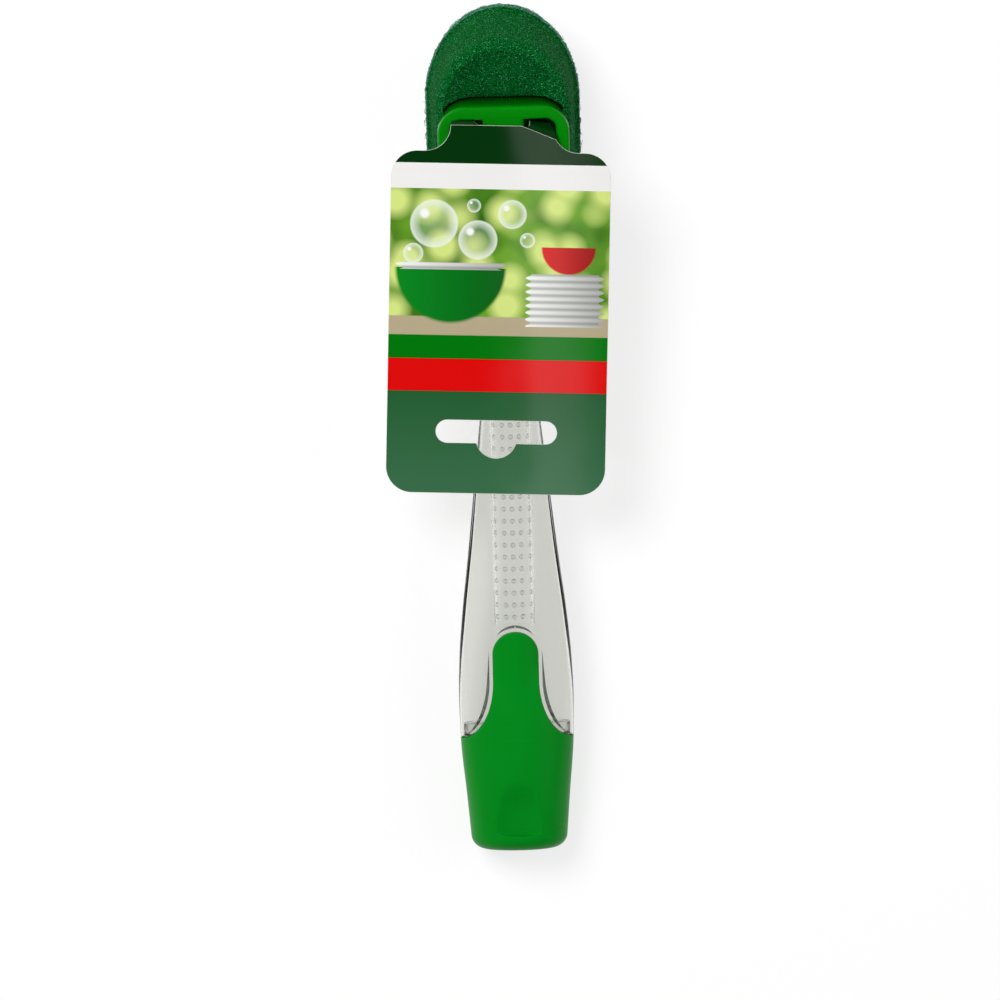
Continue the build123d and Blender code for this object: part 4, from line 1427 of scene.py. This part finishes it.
@dataclass
class HangCard:
    """The folded hang card: front panel, bend and the strip round the socket."""

    thickness: float = 0.45
    half_width: float = 35.0
    length: float = 117.5
    corner: float = 8.3
    neck_half_width: float = 16.3
    notch: float = 8.0
    notch_start: float = 0.3
    height: float = 7.6
    slot_half_width: float = 19.3
    slot_half_height: float = 3.65
    slot_place: float = 97.7
    bump_radius: float = 6.5
    bump_place: float = 99.6
    bend_reach: float = 1.3
    bend_drop: float = 1.9
    lean_from: float = 6.3
    lean_back: float = 4.1
    fold_drop: float = 6.9
    fold_reach: float = 1.6
    strip_half_width: float = 14.3
    neck_slot: float = 9.0
    slot_corner: float = 2.0
    cut_slant: float = 0.3
    flap_fold: float = -6.75
    flap_length: float = 24.0
    flap_slope: float = 4.0
    right_extra: float = 1.0
    lean_loss: float = 1.3
    cut_bevel: float = 0.1
    square_on: float = 0.95

    def arc(self, middle: tuple[float, float], radius: float, start: float, end: float,
            steps: int = 16) -> list[tuple[float, float]]:
        """Give points round an arc between two angles in degrees."""
        return [(middle[0] + radius * math.cos(t), middle[1] + radius * math.sin(t))
                for t in np.radians(np.linspace(start, end, steps + 1))]

    def panel_outline(self) -> list[tuple[float, float]]:
        """Give the panel's outer outline, counter-clockwise."""
        neck, notch, side = self.neck_half_width, self.notch, self.half_width
        shoulder = -self.notch_start - notch
        lower = self.arc((side - self.corner, shoulder - self.corner), self.corner, 90, 0)
        lower += self.arc((side - self.corner, self.corner - self.length), self.corner, 0, -90)
        middle = (neck + notch, -self.notch_start)
        lean = 180 + math.degrees(math.asin((self.lean_back - self.notch_start) / notch))
        right = [(self.lean_from, 0.0)] + self.arc(middle, notch, lean, 270) + lower
        left = [(neck, 0.0)] + self.arc(middle, notch, 180, 270) + lower
        return list(reversed(right + [(-x, y) for x, y in reversed(left)]))

    def slot_outline(self) -> list[tuple[float, float]]:
        """Give the outline of the slot for a peg hook, with its round dip."""
        reach, half = self.slot_half_width - self.slot_half_height, self.slot_half_height
        drop = self.bump_place - self.slot_place - half
        dip = math.degrees(math.asin(drop / self.bump_radius))
        points = self.arc((reach, -self.slot_place), half, 90, -90)
        points += self.arc((0, -self.bump_place), self.bump_radius, dip, -180 - dip, 24)
        return points + self.arc((-reach, -self.slot_place), half, 270, 90)

    def panel(self) -> Piece:
        """Cut the panel out of board, with a fine chamfer where the die cuts it."""
        shape = bmesh.new()
        for outline in (self.panel_outline(), self.slot_outline()):
            corners = [shape.verts.new((x, y, self.height)) for x, y in outline]
            for first, second in zip(corners, corners[1:] + corners[:1]):
                shape.edges.new((first, second))
        bmesh.ops.triangle_fill(shape, use_beauty=True, use_dissolve=False, edges=shape.edges)
        bmesh.ops.dissolve_limit(shape, angle_limit=0.01, verts=shape.verts, edges=shape.edges)
        out = bmesh.ops.extrude_face_region(shape, geom=shape.faces[:])
        lifted = [v for v in out["geom"] if isinstance(v, bmesh.types.BMVert)]
        bmesh.ops.translate(shape, verts=lifted, vec=(0, 0, self.thickness))
        bmesh.ops.transform(shape, matrix=PLACES.card(), verts=shape.verts)
        mesh = bpy.data.meshes.new("card_panel_printed")
        shape.to_mesh(mesh)
        shape.free()
        piece = link_mesh("card_panel_printed", mesh, 40.0)
        edge = piece.modifiers.new("cut_edge", "BEVEL")
        edge.width = self.cut_bevel * METRES
        edge.segments = 1
        edge.limit_method = "ANGLE"
        edge.angle_limit = math.radians(60)
        edge.material = 1
        settle(piece)
        self.dress_sides(piece)
        return piece

    def dress_sides(self, piece: Piece) -> None:
        """Print the front, and leave the cut edges white and the back grey."""
        front = PLACES.card().to_3x3().normalized() @ Vector((0, 0, 1))
        piece.data.materials.clear()
        for finish in (PRINT, CUT_BOARD, GREY_BOARD):
            piece.data.materials.append(finish.material())
        for face in piece.data.polygons:
            facing = face.normal.dot(front)
            face.material_index = (0 if facing > self.square_on else
                                   2 if facing < -self.square_on else 1)
            face.use_smooth = False

    def fold_path(self) -> list[tuple[float, float, float]]:
        """Give the fold's path: place along the card, height, and the way it faces."""
        top = self.height + self.thickness
        path = [(self.bend_reach * math.sin(t), top - self.bend_drop * (1 - math.cos(t)), t)
                for t in np.linspace(0, math.pi / 2, 9)]
        for share in (0.5, 1.0):
            path.append((self.bend_reach + (self.fold_reach - self.bend_reach) * share,
                         top - self.bend_drop - (self.fold_drop - self.bend_drop) * share,
                         math.pi / 2))
        return path

    def flap_path(self) -> list[tuple[float, float, float]]:
        """Give the path of the strip below the fold, down and in under the socket."""
        slope = math.radians(self.flap_slope)
        low = self.flap_fold - self.thickness
        tip = (self.fold_reach - self.flap_length * math.cos(slope),
               low - self.flap_length * math.sin(slope), math.pi - slope)
        return [self.fold_path()[-1], (self.fold_reach, low, math.pi * 3 / 4), tip]

    def outer_edge(self, side: int, sunk: float) -> float:
        """Give an arm's outer half width where the fold has sunk so far."""
        start = self.neck_half_width + (self.right_extra if side > 0 else 0.0)
        return start + (self.strip_half_width - start) * min(1.0, sunk / self.fold_drop)

    def lean(self, side: int, across: float, sunk: float) -> float:
        """Give how far the right arm's fold leans back at a place."""
        arm = self.neck_half_width + self.right_extra - self.lean_from
        share = (across * side - self.lean_from) / arm
        left = max(0.0, 1 - self.lean_loss * sunk / self.fold_drop)
        return self.lean_back * max(0.0, share) * left if side > 0 else 0.0

    def folded(self, name: str, path: list[tuple[float, float, float]]) -> Piece:
        """Build the two arms of the strip along a path, printed outside and white at the cuts."""
        points: list[tuple[float, float, float]] = []
        faces: Faces = []
        kinds: list[int] = []
        top, radius = self.height + self.thickness, self.slot_corner
        for side in (-1, 1):
            start = len(points)
            for along, height, facing in path:
                sunk = top - height
                step = radius if sunk > self.bend_drop else min(radius, along)
                inner = self.neck_slot - radius + math.sqrt(radius ** 2 - (radius - step) ** 2)
                for across, cut in ((inner * side, -self.cut_slant * side),
                                    (self.outer_edge(side, sunk) * side, 0.0)):
                    place = along - self.lean(side, across, sunk)
                    points.append((across, place, height))
                    points.append((across + cut, place - self.thickness * math.sin(facing),
                                   height - self.thickness * math.cos(facing)))
            for row in range(len(path) - 1):
                a = start + 4 * row
                b = a + 4
                faces += [(a, a + 2, b + 2, b), (a + 1, b + 1, b + 3, a + 3),
                          (a, b, b + 1, a + 1), (a + 2, a + 3, b + 3, b + 2)]
                kinds += [0, 2, 1, 1]
            end = start + 4 * (len(path) - 1)
            faces += [(start, start + 1, start + 3, start + 2), (end, end + 2, end + 3, end + 1)]
            kinds += [1, 1]
        piece = new_piece(name, np.array(points), faces, PLACES.card(), 40.0)
        for finish in (PLAIN_PRINT, CUT_BOARD, GREY_BOARD):
            piece.data.materials.append(finish.material())
        piece.data.polygons.foreach_set("material_index", kinds)
        return piece

    def build(self) -> None:
        """Build, dress and place the card's pieces."""
        panel = self.panel()
        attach(panel, "card")
        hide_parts("card_panel")
        fold = self.folded("card_fold_printed", self.fold_path())
        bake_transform(fold)
        flap = self.folded("card_flap_printed", self.flap_path())
        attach(flap, "handle")
        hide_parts("card_flap")
        log.info("hang card: %d faces", len(panel.data.polygons))


@dataclass
class InnerPieces:
    """What closes, seals and doses the reservoir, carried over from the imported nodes."""

    finishes: tuple[tuple[str, Finish, str], ...] = (
        ("fill_collar", CLEAR, "clear_plastic"),
        ("cap_stopper", WHITE_PLASTIC, "white_plastic"),
        ("valve_retainer", WHITE_PLASTIC, "white_plastic"),
        ("stopper_seal_ring", SEAL_RUBBER, "seal_rubber"),
        ("neck_seal_ring", SEAL_RUBBER, "seal_rubber"),
        ("dose_valve", SILICONE, "silicone"),
    )

    def build(self) -> None:
        """Join, dress and place each piece."""
        for node, finish, slot in self.finishes:
            piece = cad_copy(node, f"{node}_finished")
            finish.put_on(piece)
            log.info("%s: %d faces", node, len(piece.data.polygons))


@dataclass(frozen=True)
class Lamp:
    """A soft square lamp that points at the wand."""

    name: str
    place: tuple[float, float, float]
    power: float
    size: float

    def hang(self) -> None:
        """Hang the lamp, hidden from reflections and from clear plastic."""
        data = bpy.data.lights.new(self.name, "AREA")
        data.energy = self.power
        data.size = self.size
        lamp = bpy.data.objects.new(self.name, data)
        lamp.visible_glossy = False
        lamp.visible_transmission = False
        lamp.location = self.place
        lamp.rotation_euler = Vector(self.place).to_track_quat("Z", "Y").to_euler()
        bpy.context.scene.collection.objects.link(lamp)


@dataclass
class Studio:
    """A pale floor, soft light and a camera straight above the wand."""

    pixel: float = 0.32
    frame_pixels: int = 1000
    middle_pixel: tuple[float, float] = (500.7, 428.0)
    lean: float = 1.33
    camera_height: float = 2600.0
    subject_height: float = 25.0
    sensor: float = 36.0
    floor_size: float = 6.0
    floor_glow: float = 0.7
    floor_white: float = 1.08
    world_strength: float = 0.3
    world_sides: tuple[float, float] = (1.7, 0.3)
    ceiling_gloss: float = 0.03
    horizon_gloss: float = 0.5
    soft_box: float = 1.2
    inside_gloss: float = 0.7
    behind_clear: float = 0.8
    right_gloss: float = 0.25
    gloss_turn: tuple[float, float] = (-0.3, 0.3)
    tent_rise: tuple[float, float] = (0.15, 0.75)
    box_left: tuple[float, float] = (0.01, 0.035)
    box_right: tuple[float, float] = (0.12, 0.07)
    box_rise: tuple[float, float] = (0.8, 0.92)
    lamps: tuple[Lamp, ...] = (Lamp("key_lamp", (-0.65, 0.6, 1.5), 22.0, 0.8),
                               Lamp("fill_lamp", (1.5, 0.1, 1.0), 9.0, 1.3))

    def camera(self) -> None:
        """Set the camera where the photograph's was, far above with a long lens."""
        low, high = CAD_BOX
        middle = (low + high) / 2
        right = (self.middle_pixel[0] - self.frame_pixels / 2) * self.pixel
        down = (self.middle_pixel[1] - self.frame_pixels / 2) * self.pixel
        lean = math.radians(-self.lean)
        offset = Matrix.Rotation(lean, 3, "Z") @ Vector((-right, down, 0))
        data = bpy.data.cameras.new("camera")
        data.sensor_width = self.sensor
        distance = self.camera_height - self.subject_height
        data.lens = self.sensor * distance / (self.pixel * self.frame_pixels)
        data.clip_end = 100
        camera = bpy.data.objects.new("camera", data)
        camera.location = (middle.x + offset.x * METRES, middle.y + offset.y * METRES,
                           self.camera_height * METRES)
        camera.rotation_euler = (0, 0, lean)
        bpy.context.scene.collection.objects.link(camera)
        bpy.context.scene.camera = camera

    def seen_directly(self, tree: Tree) -> Socket:
        """Give one for what the camera sees itself, in a gloss or through clear plastic."""
        path = add_node(tree, "ShaderNodeLightPath").outputs
        first = maths(tree, "MAXIMUM", path["Is Camera Ray"], path["Is Glossy Ray"])
        return maths(tree, "MAXIMUM", first, path["Is Transmission Ray"])

    def floor(self) -> None:
        """Lay the floor, which glows softly where it is seen and keeps the shadow."""
        half = self.floor_size / 2
        mesh = bpy.data.meshes.new("floor")
        mesh.from_pydata([(-half, -half, 0), (half, -half, 0), (half, half, 0), (-half, half, 0)],
                         [], [(0, 1, 2, 3)])
        floor = bpy.data.objects.new("floor", mesh)
        bpy.context.scene.collection.objects.link(floor)
        paint = bpy.data.materials.new("floor_matt_white_paint")
        paint.use_nodes = True
        tree = paint.node_tree
        tree.nodes.clear()
        cover = add_node(tree, "ShaderNodeBsdfDiffuse", {"Color": linear("#F4F4F4")})
        glow = add_node(tree, "ShaderNodeEmission", {"Strength": self.floor_white})
        share = maths(tree, "MULTIPLY", self.seen_directly(tree), self.floor_glow)
        mixed = add_node(tree, "ShaderNodeMixShader",
                         {0: share, 1: cover.outputs[0], 2: glow.outputs[0]})
        add_node(tree, "ShaderNodeOutputMaterial", {"Surface": mixed.outputs[0]})
        mesh.materials.append(paint)

    def world(self) -> None:
        """Fill the room with light, white where it is seen and its own for gloss.

        The strengths are tuned to the photograph. Reflections see a brighter left
        side and a narrow bright band overhead, and more light from inside clear plastic.
        """
        world = bpy.data.worlds.new("studio")
        bpy.context.scene.world = world
        world.use_nodes = True
        tree = world.node_tree
        tree.nodes.clear()
        path = add_node(tree, "ShaderNodeLightPath").outputs
        aim = add_node(tree, "ShaderNodeTexCoord").outputs["Generated"]
        axes = add_node(tree, "ShaderNodeSeparateXYZ", {0: aim}).outputs
        left_light, right_light = (share * self.world_strength for share in self.world_sides)
        fade = remap(tree, axes["X"], -1.0, 1.0, left_light, right_light)
        left = remap(tree, axes["X"], *self.gloss_turn, self.horizon_gloss,
                     self.right_gloss * self.horizon_gloss)
        tent = remap(tree, axes["Z"], *self.tent_rise, left, self.ceiling_gloss,
                     interpolation_type="SMOOTHSTEP")
        band = maths(tree, "MULTIPLY",
                     remap(tree, axes["X"], *self.box_left, 0.0, self.soft_box),
                     remap(tree, axes["X"], *self.box_right))
        box = maths(tree, "MULTIPLY_ADD", band, remap(tree, axes["Z"], *self.box_rise), tent)
        through = maths(tree, "GREATER_THAN", path["Transmission Depth"], 0.5)
        gloss = maths(tree, "MULTIPLY_ADD", through, self.inside_gloss, box)
        sight = remap(tree, path["Is Camera Ray"], 0.0, 1.0, self.behind_clear)
        even, dim, white = (add_node(tree, "ShaderNodeBackground",
                                     {"Strength": strength}).outputs[0]
                            for strength in (fade, gloss, sight))
        reflected = add_node(tree, "ShaderNodeMixShader",
                             {0: path["Is Glossy Ray"], 1: even, 2: dim})
        seen = maths(tree, "MAXIMUM", path["Is Camera Ray"], path["Is Transmission Ray"])
        mixed = add_node(tree, "ShaderNodeMixShader",
                         {0: seen, 1: reflected.outputs[0], 2: white})
        add_node(tree, "ShaderNodeOutputWorld", {"Surface": mixed.outputs[0]})

    def build(self) -> None:
        """Set up the whole studio."""
        bpy.context.scene.view_settings.view_transform = "Standard"
        self.camera()
        self.floor()
        self.world()
        for lamp in self.lamps:
            lamp.hang()


def main() -> None:
    """Build the wand's sub-assemblies in order, then the studio."""
    logging.basicConfig(level=logging.INFO, format="%(relativeCreated)6d ms %(message)s")
    for assembly in (ReservoirHandle(), GripCap(), ScrubHead(), HangCard(), InnerPieces(),
                     Studio()):
        assembly.build()
        log.info("%s built", type(assembly).__name__)


if __name__ == "__main__":
    main()
